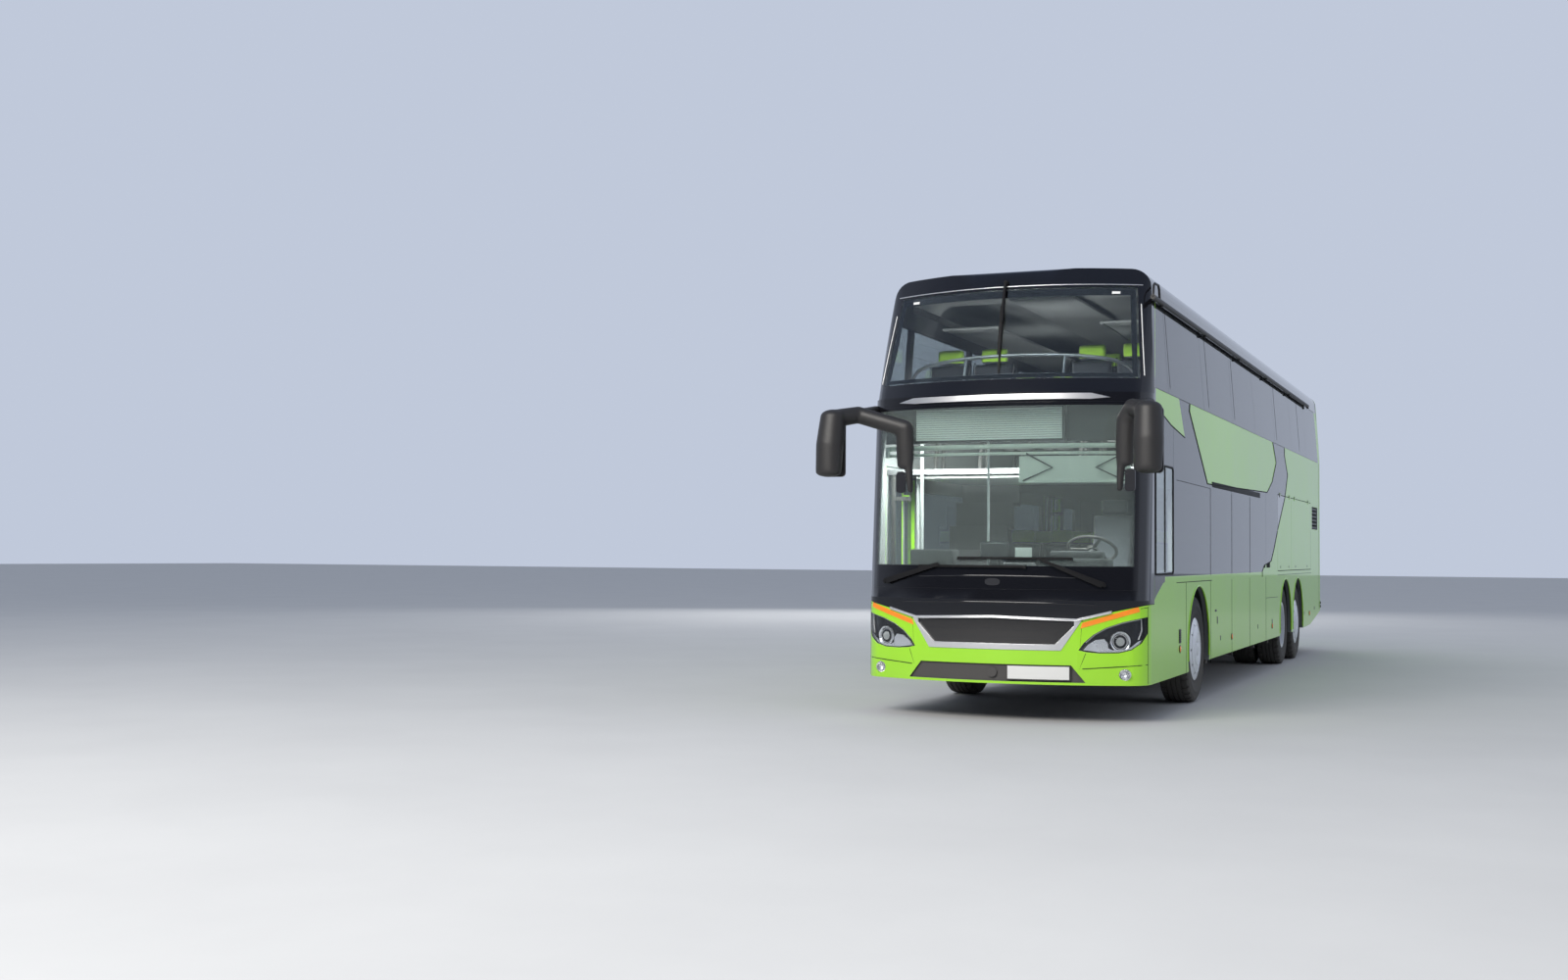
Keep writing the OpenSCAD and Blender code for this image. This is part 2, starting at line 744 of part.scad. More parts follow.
module door_swing(x0) {
    color([0.25, 0.25, 0.27]) translate([at(x0 + column_in), -column_y, 0]) {
        translate([0, 0, lower_floor_z + fit])
            cylinder(r = column_r, h = ceiling_z - lower_floor_z - 2 * fit);
        for (z = arm_heights) difference() {
            translate([0, 0, z - arm_t / 2]) {
                linear_extrude(arm_t) polygon([[18, 0], [18, arm_bulge + 18], [-108, arm_bulge + 18],
                    [8 - door_arm, eye_r - 1], [-door_arm, 1 - eye_r], [4 - door_arm, 1 - eye_r],
                    [-100, arm_bulge - 20], [-18, arm_bulge - 20], [-18, 0]]);
                translate([-door_arm, 0, 0]) cylinder(r = eye_r, h = arm_t);
            }
            translate([-door_arm, 0, z - arm_t]) cylinder(r = door_pin_r + pin_clear, h = arm_t * 2);
        }
    }
}

module front_door() { door_leaf(front_door_x); }
module front_door_glass() { door_pane(front_door_x); }
module front_door_arm() { door_swing(front_door_x); }
module mid_door() { door_leaf(mid_door_x); }
module mid_door_glass() { door_pane(mid_door_x); }
module mid_door_arm() { door_swing(mid_door_x); }

// Floors, with housings over the front wheels and a platform for the driver
house_y = half_w - 725;
house_half = 660;
house_z = 1160;
house_t = 30;
platform = [1000, 2120];
platform_y = driver_y - 440;
module house_box(side, grow, z0, z1) {
    y0 = house_y - grow;
    y1 = grow > 0 ? half_w - wall_t - fit : half_w;
    box(front_overhang - house_half - grow, front_overhang + house_half + grow,
        side > 0 ? y0 : -y1, side > 0 ? y1 : -y0, z0, z1);
}
module lower_floor() {
    color([0.3, 0.3, 0.32]) difference() {
        union() {
            inner_box(wall_front, bulkhead_x, lower_floor_z - floor_t, lower_floor_z);
            front_low(wall_t + fit, lower_floor_z - floor_t, lower_floor_z);
            for (s = [-1, 1]) house_box(s, house_t, lower_floor_z - floor_t, house_z + house_t);
            box(platform[0], platform[1], platform_y, half_w - wall_t - fit, lower_floor_z - 1, driver_z);
        }
        for (s = [-1, 1]) house_box(s, 0, 0, house_z);
        // Hollow of the platform
        box(platform[0] + 40, platform[1] - 40, platform_y + 40, half_w, lower_floor_z - 100, driver_z - 40);
        // Steps inside the two doorways
        for (x = [front_door_x, mid_door_x])
            box(x - 4, x + door_w + 4, -half_w, -half_w + wall_t + 30, 0, ceiling_z);
    }
}

module luggage_bay() {
    color([0.35, 0.35, 0.37]) {
        inner_box(bulkhead_x + 1, bay_rear_x, bay_floor_z - floor_t, bay_floor_z);
        inner_box(bulkhead_x + 1, bulkhead_x + bulkhead_t, lower_floor_z, ceiling_z - fit);
        inner_box(bay_rear_x, bay_rear_x + bulkhead_t, bay_floor_z - floor_t, ceiling_z - fit);
    }
}

// Stair flights as foot station, direction of travel and side
risers = 7;
going = 220;
stair_w = 620;
stair_t = 35;
flight_len = risers * going;
flights = [[front_door_x + door_w + 80, 1, -1], [bulkhead_x - 1060, -1, 1]];

module upper_floor() {
    color([0.3, 0.3, 0.32]) difference() {
        inner_box(wall_front + 80, body_length - rear_corner_r, ceiling_z, upper_floor_z);
        for (f = flights) {
            x0 = f[0] + (f[1] > 0 ? -60 : -flight_len);
            box(x0, x0 + flight_len + 60, f[2] > 0 ? stair_y - 20 : -half_w,
                f[2] > 0 ? half_w : -stair_y + 20, ceiling_z - 10, upper_floor_z + 10);
        }
    }
}

module stairs() {
    rise = (upper_floor_z - lower_floor_z) / risers;
    t = stair_t;
    top = flight_len - going + 120;
    steps = concat(
        [for (i = [0:risers - 1]) each [[i * going, i * rise], [i * going, (i + 1) * rise]]],
        [[top, risers * rise], [top, risers * rise - t]],
        [for (i = [risers - 1:-1:1])
            each [[i * going + t, (i + 1) * rise - t], [i * going + t, i * rise - t]]],
        [[t, rise - t], [t, 0]]);
    color([0.35, 0.35, 0.37]) for (f = flights)
        translate([at(f[0]), f[2] * (stair_y + stair_w / 2), lower_floor_z + fit])
            rotate([90, 0, 0]) mirror([f[1] > 0 ? 1 : 0, 0, 0]) translate([0, 0, -stair_w / 2])
                linear_extrude(stair_w) polygon(steps);
}

// Side views of a seat facing +X, its foot at the origin: cushion, back and headrest
cushion_side = [[-150, 385], [280, 385], [312, 400], [325, 435], [314, 472], [285, 490], [150, 496],
    [0, 484], [-150, 488]];
back_side = [[-195, 380], [-95, 392], [-98, 500], [-120, 620], [-150, 700], [-205, 900],
    [-245, 1060], [-262, 1078], [-300, 1085], [-335, 1072], [-345, 1045], [-305, 850]];
head_side = [[-262, 1060], [-252, 1100], [-262, 1190], [-285, 1215], [-325, 1215], [-345, 1190],
    [-342, 1060]];
module across_seat(y, w, pts) {
    translate([0, y + w, 0]) rotate([90, 0, 0]) linear_extrude(w) polygon(pts);
}
module bench(seats) {
    one = bench_w / 2;
    w = one * seats;
    translate([0, -w / 2, fit]) {
        for (y = [w * 0.25, w * 0.75 - 60]) translate([-80, y, 0]) cube([300, 60, 400]);
        for (i = [0:seats - 1]) {
            across_seat(i * one + 12, one - 24, cushion_side);
            across_seat(i * one + 14, one - 28, back_side);
            across_seat(i * one + 90, one - 180, head_side);
        }
        // Armrests and the bar that joins the seats
        for (i = [0:seats]) translate([-180, min(i * one, w - 24), 560]) cube([330, 24, 30]);
        for (i = [0:seats]) translate([-180, min(i * one, w - 24), 395]) cube([60, 24, 170]);
        translate([-140, 10, 388]) cube([60, w - 20, 30]);
    }
}

// Seat rows as first station, last station, side and floor height
rear_row = body_length - 300;
seat_rows = [[2190, bulkhead_x - 1060 - flight_len, 1, upper_floor_z],
    [bulkhead_x - 400, rear_row, 1, upper_floor_z], [4100, rear_row, -1, upper_floor_z],
    [along(4050), bulkhead_x - 1000 - flight_len, 1, lower_floor_z],
    [along(4050), mid_door_x + 100, -1, lower_floor_z],
    [bulkhead_x - 450, bulkhead_x, 1, lower_floor_z],
    [1400, 1500, 1, upper_floor_z], [1400, 1500, -1, upper_floor_z]];
seat_y = aisle_w / 2 + bench_w / 2 + 20;
driver_seat_x = 1620;

module seats() {
    color([0.2, 0.2, 0.22]) {
        for (r = seat_rows) for (x = [r[0]:seat_pitch:max(r[0], r[1] - seat_pitch)])
            translate([at(x), r[2] * seat_y, r[3]]) bench(2);
        translate([at(driver_seat_x), driver_y, driver_z]) bench(1);
    }
}

// Dashboard with its footwell, and the steering column
wheel_pos = [at(1010), driver_y, 1490];
steer_rake = 32;
column_len = 420;
rim_pitch_r = 215;
rim_bar_r = 15;
module cockpit() {
    color([0.1, 0.1, 0.1]) difference() {
        intersection() {
            box(60, 900, -half_w + 715, half_w - wall_t - 60, lower_floor_z + fit, 1300);
            front_low(wall_t + 15, 0, 1400);
        }
        box(480, 1000, -half_w, half_w, 0, 1010);
        box(480, 1000, driver_y - 390, half_w - wall_t - 120, 0, 1150);
    }
    color([0.1, 0.1, 0.1]) translate(wheel_pos) rotate([0, -steer_rake, 0])
        translate([0, 0, -column_len]) cylinder(r = 35, h = column_len - rim_bar_r - fit);
}

module steering_wheel() {
    color([0.05, 0.05, 0.05]) translate(wheel_pos) rotate([0, -steer_rake, 0]) {
        rotate_extrude() translate([rim_pitch_r, 0]) circle(r = rim_bar_r, $fn = 24);
        cylinder(r = 50, h = 2 * rim_bar_r, center = true);
        for (a = [30, 150, 270]) rotate([0, 0, a]) translate([0, -15, -8]) cube([rim_pitch_r - 7, 30, 16]);
    }
}

// Frame rails below the floor, raised behind the lower deck
module rail_box(side, x0, x1, z0, z1) {
    box(x0, x1, side * rail_y - rail_w / 2, side * rail_y + rail_w / 2, z0, z1);
}
cross_t = 80;
tail_frame_x = body_length - 375;
jack_x = [2300, bulkhead_x + 70];
pad_t = 12;
module chassis_frame() {
    low_top = lower_floor_z - floor_t;
    high_top = bay_floor_z - floor_t;
    side_in = half_w - 80;
    color([0.12, 0.12, 0.13]) {
        for (s = [-1, 1]) {
            rail_box(s, 300, bulkhead_x + 120, rail_z0, low_top);
            rail_box(s, bulkhead_x + bulkhead_t + 0.5, bulkhead_x + 120, rail_z0, high_top - 5);
            rail_box(s, bulkhead_x + bulkhead_t + 0.5, body_length - 200, rear_rail_z, high_top);
            // Pads for a workshop jack
            for (x = jack_x) box(x - 40, x + 40, s * rail_y - 32, s * rail_y + 32, rail_z0 - pad_t, rail_z0);
            // Rear frame that carries the towing socket
            rail_box(s, tail_frame_x, tail_frame_x + cross_t, rear_tow_z - 40, rear_rail_z);
        }
        box(320, 400, -half_w + 375, half_w - 375, 330, low_top);
        for (x = [along(1900), along(3700), along(5400), along(7100), bulkhead_x + 40.5])
            box(x, x + cross_t, -side_in, side_in, 330, low_top);
        for (x = [drive_station - 850, drive_station + 650, tag_station + 800, tail_frame_x + 40])
            box(x, x + cross_t, -side_in, side_in, 1080, high_top);
        box(tail_frame_x, tail_frame_x + cross_t, -rail_y, rail_y, rear_tow_z - 40, rear_tow_z + 40);
        difference() {
            union() {
                translate([at(330), 0, front_tow_z]) rotate([0, 90, 0]) cylinder(r = tow_out_r, h = 270);
                translate([at(body_length - 30), 0, rear_tow_z]) rotate([0, 90, 0])
                    cylinder(r = tow_out_r, h = 270);
            }
            translate([at(60) - tow_depth, 0, front_tow_z]) rotate([0, 90, 0])
                cylinder(r = tow_r, h = tow_depth + 50);
            translate([at(body_length), 0, rear_tow_z]) rotate([0, 90, 0])
                cylinder(r = tow_r, h = tow_depth + 30);
        }
    }
}

// Engine and gearbox as one plain block, hung under the raised frame rails
engine_half = rail_y + 80;
engine_z = 420;
module engine() {
    color([0.25, 0.25, 0.27])
        box(body_length - 1885, body_length - 435, -engine_half, engine_half, engine_z, rear_rail_z - fit);
}

// A beam that carries two kingpins
eye_half = 70;
module steered_axle(station, drop_z, drop_y) {
    color([0.15, 0.15, 0.16]) translate([at(station), 0, 0]) difference() {
        union() {
            translate([-50, -drop_y, drop_z]) cube([100, 2 * drop_y, 100]);
            for (s = [-1, 1]) {
                hull() {
                    translate([-45, s * drop_y - 30, drop_z]) cube([90, 60, 100]);
                    translate([-45, s * (kingpin_y - 50) - 20, wheel_z - 60]) cube([90, 40, 110]);
                }
                translate([0, s * kingpin_y, wheel_z - eye_half]) cylinder(r = 52, h = 2 * eye_half);
            }
        }
        for (s = [-1, 1]) translate([0, s * kingpin_y, wheel_z - 200])
            cylinder(r = kingpin_r + pin_clear, h = 400);
    }
}

// Air springs between an axle and the frame
spring_r = 120;
module springs(station, z0) {
    color([0.06, 0.06, 0.06]) for (s = [-1, 1])
        translate([at(station), s * rail_y, z0]) cylinder(r = spring_r, h = rear_rail_z - fit - z0);
}

module front_axle() {
    steered_axle(front_overhang, 190, kingpin_y - 410);
    // Spring pads under the frame
    color([0.15, 0.15, 0.16]) for (s = [-1, 1])
        translate([at(front_overhang) - 60, s * rail_y - 35, 289]) cube([120, 70, rail_z0 - fit - 289]);
}
module tag_axle() {
    steered_axle(tag_station, 440, kingpin_y - 370);
    springs(tag_station, 540 + fit);
}

module drive_axle() {
    color([0.15, 0.15, 0.16]) translate([at(drive_station), 0, wheel_z]) {
        rotate([90, 0, 0]) cylinder(r = 90, h = 2 * twin_y - 980, center = true);
        sphere(r = 230);
        rotate([90, 0, 0]) cylinder(r = stub_r - 0.1, h = 2 * twin_y + 120, center = true);
    }
    springs(drive_station, wheel_z + 85);
}

// Steering knuckle: kingpin, two lugs, a web and the stub for the wheel
stub_r = 45;
lug_h = 42;
lug_z = eye_half + 6;
web_half = lug_z + lug_h;
module knuckle(station, side) {
    color([0.2, 0.2, 0.21]) translate([at(station), side * kingpin_y, wheel_z]) {
        cylinder(r = kingpin_r, h = 2 * web_half, center = true);
        for (z = [-web_half, lug_z]) translate([0, 0, z]) {
            cylinder(r = 50, h = lug_h);
            translate([-50, side > 0 ? 0 : -62, 0]) cube([100, 62, lug_h]);
        }
        translate([-50, side > 0 ? 58 : -78, -web_half]) cube([100, 20, 2 * web_half]);
        translate([0, side * 60, 0]) rotate([side * -90, 0, 0]) cylinder(r = stub_r, h = 180);
    }
}

module knuckle_front_left() { knuckle(front_overhang, 1); }
module knuckle_front_right() { knuckle(front_overhang, -1); }
module knuckle_tag_left() { knuckle(tag_station, 1); }
module knuckle_tag_right() { knuckle(tag_station, -1); }

// Half profile of a tyre as radius and distance from its middle
function tyre_half() =
    [[tyre_r, 0], [tyre_r - 1.5, 90], [tyre_r - 4, tyre_w * 0.40], [tyre_r - 20, tyre_w * 0.45],
     [tyre_r - 70, tyre_w * 0.49], [(tyre_r + rim_r) / 2, tyre_w * 0.5], [rim_r + 50, tyre_w * 0.46],
     [rim_r + 15, tyre_w * 0.40], [rim_r + fit, tyre_w * 0.40]];

module tyre_ring() {
    half = tyre_half();
    rotate([-90, 0, 0]) rotate_extrude($fn = 96)
        polygon(concat(half, [for (i = [len(half) - 1:-1:1]) [half[i][0], -half[i][1]]]));
}

module tyres(station, side, offsets) {
    color([0.05, 0.05, 0.05]) for (y = offsets) translate([at(station), side * y, wheel_z]) tyre_ring();
}

single = [track_y];
twins = [twin_y, twin_y - twin_gap];
module tyre_front_left() { tyres(front_overhang, 1, single); }
module tyre_front_right() { tyres(front_overhang, -1, single); }
module tyre_drive_left() { tyres(drive_station, 1, twins); }
module tyre_drive_right() { tyres(drive_station, -1, twins); }
module tyre_tag_left() { tyres(tag_station, 1, single); }
module tyre_tag_right() { tyres(tag_station, -1, single); }

// Wheels: profiles turned about the axle, as radius and distance outwards from the tyre's middle
half_rim = 120;
rim_t = 14;
lip_r = rim_r + 22;
lip_out = half_rim + 3.5;
bore_r = stub_r + fit;
hub_r = 120;
module single_wheel() {
    difference() {
        rotate_extrude($fn = 96) polygon([[bore_r, -70], [bore_r, 75], [0.01, 75], [0.01, 168], [58, 166],
            [66, 158], [76, 162], [150, 157], [230, 147], [272, 137], [lip_r - 10, 135], [lip_r, 130],
            [lip_r, lip_out], [rim_r, lip_out], [rim_r, -half_rim], [rim_r - rim_t, -half_rim],
            [rim_r - rim_t - 8, 20], [hub_r + 20, 20], [hub_r, -70]]);
        // Hollow between the wheel's disc and its cover
        rotate_extrude($fn = 96) polygon([[hub_r + 5, 36], [rim_r - rim_t, 36], [rim_r - rim_t, 126],
            [230, 139], [hub_r + 5, 149]]);
        for (i = [0:9]) rotate([0, 0, i * 36]) translate([246, 0, 100]) cylinder(r = 13, h = 80, $fn = 24);
        // Opening in the middle of the cover
        translate([0, 0, 152]) cylinder(r = 13, h = 40, $fn = 24);
        translate([-5, -26, 152]) cube([10, 26, 40]);
    }
}

module wheel_at(station, side, y) {
    color([0.8, 0.8, 0.82]) translate([at(station), side * y, wheel_z]) rotate([side * -90, 0, 0]) children();
}

dish_z = 12 - twin_gap / 2;
module twin_wheel() {
    rotate_extrude($fn = 96) polygon([[bore_r, -twin_gap / 2 - 30], [bore_r, 60], [0.01, 60],
        [0.01, 120], [100, 114], [112, 100], [130, dish_z], [rim_r - 30, dish_z],
        [rim_r - 20, half_rim + 10], [lip_r, half_rim + 10], [lip_r, lip_out], [rim_r, lip_out],
        [rim_r, -twin_gap - half_rim], [rim_r - 20, -twin_gap - half_rim], [rim_r - 30, dish_z - 24],
        [130, dish_z - 24], [130, -twin_gap / 2 - 30]]);
}

module wheel_front_left() { wheel_at(front_overhang, 1, track_y) single_wheel(); }
module wheel_front_right() { wheel_at(front_overhang, -1, track_y) single_wheel(); }
module wheel_tag_left() { wheel_at(tag_station, 1, track_y) single_wheel(); }
module wheel_tag_right() { wheel_at(tag_station, -1, track_y) single_wheel(); }
module wheel_drive_left() { wheel_at(drive_station, 1, twin_y) twin_wheel(); }
module wheel_drive_right() { wheel_at(drive_station, -1, twin_y) twin_wheel(); }

// Mirrors: a head ahead of the corner, its arm, an inner leg and a root on the mask
head_x = nose_x + 250;
head_y = half_w + 130;
elbow = [nose_x + 45, half_w - 60, brow_z - 165];
// Inner legs: close to the corner on the driver's side, further in on the door side
leg_x = nose_x + 30;
function leg_y(s) = s > 0 ? half_w - 115 : half_w - 490;
module ball(p, side, r) {
    translate([p[0], side * p[1], p[2]]) sphere(r = r, $fn = 32);
}
module mirror_one(s) {
    knee = [leg_x, leg_y(s), brow_z - 290];
    hull() {
        translate([head_x + 60, s * head_y, brow_z - 740]) cylinder(r = 120, h = 30);
        translate([head_x - 30, s * head_y, brow_z - 210]) cylinder(r = 120, h = 60);
    }
    hull() { ball([head_x - 30, head_y, brow_z - 210], s, 80); ball(elbow, s, 62); }
    hull() { ball(elbow, s, 62); ball(knee, s, 66); }
    hull() { ball(knee, s, 66); ball([leg_x, leg_y(s), brow_z - 640], s, 60); }
    hull() {
        ball([leg_x, leg_y(s) - 30, brow_z - 640], s, 40);
        ball([leg_x, leg_y(s) - 40, brow_z - 840], s, 32);
    }
    hull() { ball(elbow, s, 55); ball([at(520), half_w - 13, brow_z - 90], s, 45); }
}
module mirrors() {
    color([0.1, 0.1, 0.11]) for (s = [-1, 1]) difference() {
        mirror_one(s);
        front_mid(-fit, brow_z);
    }
}

// Lower wipers as pivot y and z, elbow y and z, blade ends y and height
wiper_set = [[-1050, 1190, -494, 1352, -688, 285, 1333], [932, 1183, 407, 1400, -309, 672, 1405]];
wiper_out = 38;
pivot_r = 22;
module wipers() {
    color([0.05, 0.05, 0.05]) {
        for (w = wiper_set) intersection() {
            difference() { front_mid(-wiper_out, brow_z); front_mid(-8, brow_z + 1); }
            through_front() union() {
                polygon(wide([[w[0] - 20, w[1] - 15], [w[0] + 20, w[1] + 15], [w[2] + 15, w[3] + 15],
                    [w[2] - 15, w[3] - 15]]));
                polygon(wide([[w[4], w[6] - 12], [w[5], w[6] - 12], [w[5], w[6] + 12], [w[4], w[6] + 12]]));
            }
        }
        // Pivots on the mask
        for (w = wiper_set) intersection() {
            difference() { front_mid(-wiper_out, brow_z); front_mid(-fit, brow_z + 1); }
            translate([nose_x - 700, across(w[0]), w[1]]) rotate([0, 90, 0]) cylinder(r = pivot_r, h = 760);
        }
        // Upper wiper, hung from the roof's front edge
        intersection() {
            difference() { front_upper(-wiper_out); front_upper(-fit); }
            translate([nose_x - 900, -30, body_height - 120]) rotate([0, 90, 0])
                cylinder(r = pivot_r, h = 760);
        }
        intersection() {
            difference() { front_upper(-wiper_out); front_upper(-8); }
            through_front() polygon([[-45, body_height - 70], [-15, body_height - 70],
                [5, brow_z + 170], [-25, brow_z + 170]]);
        }
    }
}

// Branch guards: a rail along each side of the roof, with a loop at its front end
rail_z = upper_head + 10;
rail_stand = half_w - 25;
rail_start = 700;
rail_end = body_length - 1535;
guard_r = 12;
loop_r = 10.5;
bend_r = 13;
bracket_t = 60;
first_bracket = rail_start + 320;
// Corners of the loop as station and z
guard_loop = [[1005, rail_z], [950, rail_z + 140], [735, rail_z + 120], [rail_start, rail_z]];
// Distance of the side wall's skin from the middle at a height over the shoulder
side_top = [half_w - tumble - cantrail_r * (1 - cos(4)), body_height - crown - cantrail_r * (1 - sin(4))];
function side_y(z) = half_w - (half_w - side_top[0]) * (z - shoulder_z) / (side_top[1] - shoulder_z);
module guard_tube(s, p, q, r) {
    d = [p[0] - q[0], q[1] - p[1]];
    translate([at(p[0]), s * rail_stand, p[1]]) rotate([0, 90 - atan2(d[1], d[0]), 0])
        cylinder(r = r, h = norm(d), $fn = 24);
}
module branch_guards() {
    skin = side_y(rail_z - 8) + fit;
    color([0.05, 0.05, 0.05]) for (s = [-1, 1]) {
        guard_tube(s, [rail_end, rail_z], [rail_start, rail_z], guard_r);
        for (i = [0:2]) {
            guard_tube(s, guard_loop[i], guard_loop[i + 1], loop_r);
            ball([at(guard_loop[i + 1][0]), rail_stand, guard_loop[i + 1][1]], s, bend_r);
        }
        for (i = [0:5]) {
            x = first_bracket + i * (rail_end - first_bracket - bracket_t) / 5;
            box(x, x + bracket_t, s > 0 ? skin : -rail_stand, s > 0 ? rail_stand : -skin,
                rail_z - 8, rail_z + 8);
        }
    }
}

chassis_frame();
front_axle();
drive_axle();
tag_axle();
engine();
lower_floor();
luggage_bay();
upper_floor();
stairs();
seats();
cockpit();
wall_left();
wall_right();
roof();
front_mask();
front_crown();
front_bumper();
front_trim();
front_chrome();
rear_wall();
windscreens();
side_windows();
rear_window();
lamps();
mirrors();
wipers();
branch_guards();
steering_wheel();
knuckle_front_left();
knuckle_front_right();
knuckle_tag_left();
knuckle_tag_right();
tyre_front_left();
tyre_front_right();
tyre_drive_left();
tyre_drive_right();
tyre_tag_left();
tyre_tag_right();
wheel_front_left();
wheel_front_right();
wheel_drive_left();
wheel_drive_right();
wheel_tag_left();
wheel_tag_right();
front_door();
front_door_glass();
front_door_arm();
mid_door();
mid_door_glass();
mid_door_arm();
flap_left_fore();
flap_left_aft();
flap_right_fore();
flap_right_aft();
engine_lid();
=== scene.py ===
import json
import math

import bmesh
import bpy
from mathutils import Matrix, Vector


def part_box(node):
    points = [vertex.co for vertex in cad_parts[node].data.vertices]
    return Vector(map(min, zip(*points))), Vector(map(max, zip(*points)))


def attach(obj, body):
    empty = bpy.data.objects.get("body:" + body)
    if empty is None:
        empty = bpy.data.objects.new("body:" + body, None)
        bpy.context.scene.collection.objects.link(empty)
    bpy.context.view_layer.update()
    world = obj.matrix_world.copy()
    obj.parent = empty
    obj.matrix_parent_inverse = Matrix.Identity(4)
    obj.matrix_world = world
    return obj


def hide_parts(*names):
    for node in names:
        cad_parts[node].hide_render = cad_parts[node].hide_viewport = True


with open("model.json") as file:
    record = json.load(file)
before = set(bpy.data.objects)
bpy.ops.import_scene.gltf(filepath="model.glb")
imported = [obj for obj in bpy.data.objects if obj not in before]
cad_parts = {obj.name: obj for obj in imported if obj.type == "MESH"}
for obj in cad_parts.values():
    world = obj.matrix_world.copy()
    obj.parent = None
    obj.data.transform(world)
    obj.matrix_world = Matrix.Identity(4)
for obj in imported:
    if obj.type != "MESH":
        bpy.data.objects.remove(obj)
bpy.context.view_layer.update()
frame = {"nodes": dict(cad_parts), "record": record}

# The coach's main places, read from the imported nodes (metres)
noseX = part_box("front_bumper")[1].x
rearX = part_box("rear_wall")[0].x
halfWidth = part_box("front_bumper")[1].y
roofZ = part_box("roof")[1].z
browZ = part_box("front_mask")[1].z
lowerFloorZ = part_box("lower_floor")[0].z + 0.05
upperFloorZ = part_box("upper_floor")[1].z
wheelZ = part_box("tyre_front_left")[1].z / 2
axleX = {axle: sum(v.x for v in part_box(f"tyre_{axle}_left")) / 2 for axle in ("front", "drive", "tag")}

noseShape = {
    "bow": 2.6,  # radius of the front seen from above
    "corner": 0.25,
    "leanZ": 1.05,
    "lowerLean": math.radians(4.4),
    "upperLean": math.radians(21.5),
}
sideShape = {"shoulderZ": 2.9, "topZ": 3.83, "lean": 0.0704}


def station(metres):
    return noseX - metres  # x of a station behind the nose


def planDepth(y, out):
    # how far the front's outline lies behind the nose at y, moved outwards by out
    bow, corner = noseShape["bow"] + out, noseShape["corner"] + out
    cornerY = halfWidth - noseShape["corner"]
    cornerX = -noseShape["bow"] + math.sqrt((noseShape["bow"] - noseShape["corner"]) ** 2 - cornerY**2)
    turnY = bow * math.sin(math.atan2(cornerY, cornerX + noseShape["bow"]))
    y = abs(y)
    if y <= turnY:
        return -noseShape["bow"] + math.sqrt(bow**2 - y**2)
    reach = min(y - cornerY, corner * 0.9999)
    return cornerX + math.sqrt(corner**2 - reach**2)


def frontX(y, z, out=0.0):
    # x of the front's skin at a height, with its two leans
    low, high = math.tan(noseShape["lowerLean"]), math.tan(noseShape["upperLean"])
    depth = planDepth(y, out)
    if z < noseShape["leanZ"]:
        return noseX + depth
    if z < browZ:
        return noseX + depth / math.cos(noseShape["lowerLean"]) - (z - noseShape["leanZ"]) * low
    setback = (browZ - noseShape["leanZ"]) * low
    return noseX - setback + depth / math.cos(noseShape["upperLean"]) - (z - browZ) * high


def sideY(z):
    over = max(0.0, z - sideShape["shoulderZ"]) / (sideShape["topZ"] - sideShape["shoulderZ"])
    return halfWidth - sideShape["lean"] * over


# materials


def feed(tree, socket, value):
    # a constant stays plain on its socket, an output is wired to it
    if isinstance(value, (int, float, tuple)):
        socket.default_value = value
    elif value is not None:
        tree.links.new(value, socket)


def mathNode(tree, operation, a, b=None, clamp=False):
    node = tree.nodes.new("ShaderNodeMath")
    node.operation, node.use_clamp = operation, clamp
    for socket, value in zip(node.inputs, (a, b)):
        feed(tree, socket, value)
    return node.outputs[0]


def mixNode(tree, factor, a, b):
    node = tree.nodes.new("ShaderNodeMix")
    node.data_type = "RGBA"
    for label, value in (("Factor", factor), ("A", a), ("B", b)):
        feed(tree, node.inputs[label], value)
    return node.outputs["Result"]


def noiseNode(tree, coords, scale, detail=3.0, roughness=0.5):
    node = tree.nodes.new("ShaderNodeTexNoise")
    for label, value in (("Vector", coords), ("Scale", scale), ("Detail", detail), ("Roughness", roughness)):
        feed(tree, node.inputs[label], value)
    return node.outputs[0]


def bumpNode(tree, height, strength, distance):
    node = tree.nodes.new("ShaderNodeBump")
    for label, value in (("Height", height), ("Strength", strength), ("Distance", distance)):
        feed(tree, node.inputs[label], value)
    return node.outputs[0]


def coordNode(tree, kind):
    return tree.nodes.new("ShaderNodeTexCoord").outputs[kind]


def splitNode(tree, vector):
    node = tree.nodes.new("ShaderNodeSeparateXYZ")
    tree.links.new(vector, node.inputs[0])
    return node.outputs


def newGroup(name, inputs, outputs, build):
    # a node group whose build function returns its outputs from its inputs and the object coordinates
    group = bpy.data.node_groups.new(name, "ShaderNodeTree")
    for label, value in inputs.items():
        group.interface.new_socket(label, in_out="INPUT", socket_type="NodeSocketFloat").default_value = value
    for label, kind in outputs.items():
        group.interface.new_socket(label, in_out="OUTPUT", socket_type="NodeSocket" + kind)
    given, result = group.nodes.new("NodeGroupInput"), group.nodes.new("NodeGroupOutput")
    for source, socket in zip(build(group, coordNode(group, "Object"), given.outputs), result.inputs):
        group.links.new(source, socket)
    return group


def roadFilm(group, coords, given):
    # thick near the ground, patchy above, and slight waves in the gloss
    patches = noiseNode(group, coords, given["Patch"], 5.0, 0.6)
    share = mathNode(group, "DIVIDE", splitNode(group, coords)[2], given["Top"])
    low = mathNode(group, "SUBTRACT", 1.0, share, True)
    spread = mathNode(group, "MULTIPLY", low, mathNode(group, "ADD", patches, 0.25))
    return mathNode(group, "MULTIPLY", spread, given["Amount"], True), patches


def fineGrain(group, coords, given):
    # fine unevenness of a finish: orange peel, casting or moulded grain
    height = noiseNode(group, coords, given["Scale"], 2.0)
    return bumpNode(group, height, given["Strength"], given["Depth"]), height


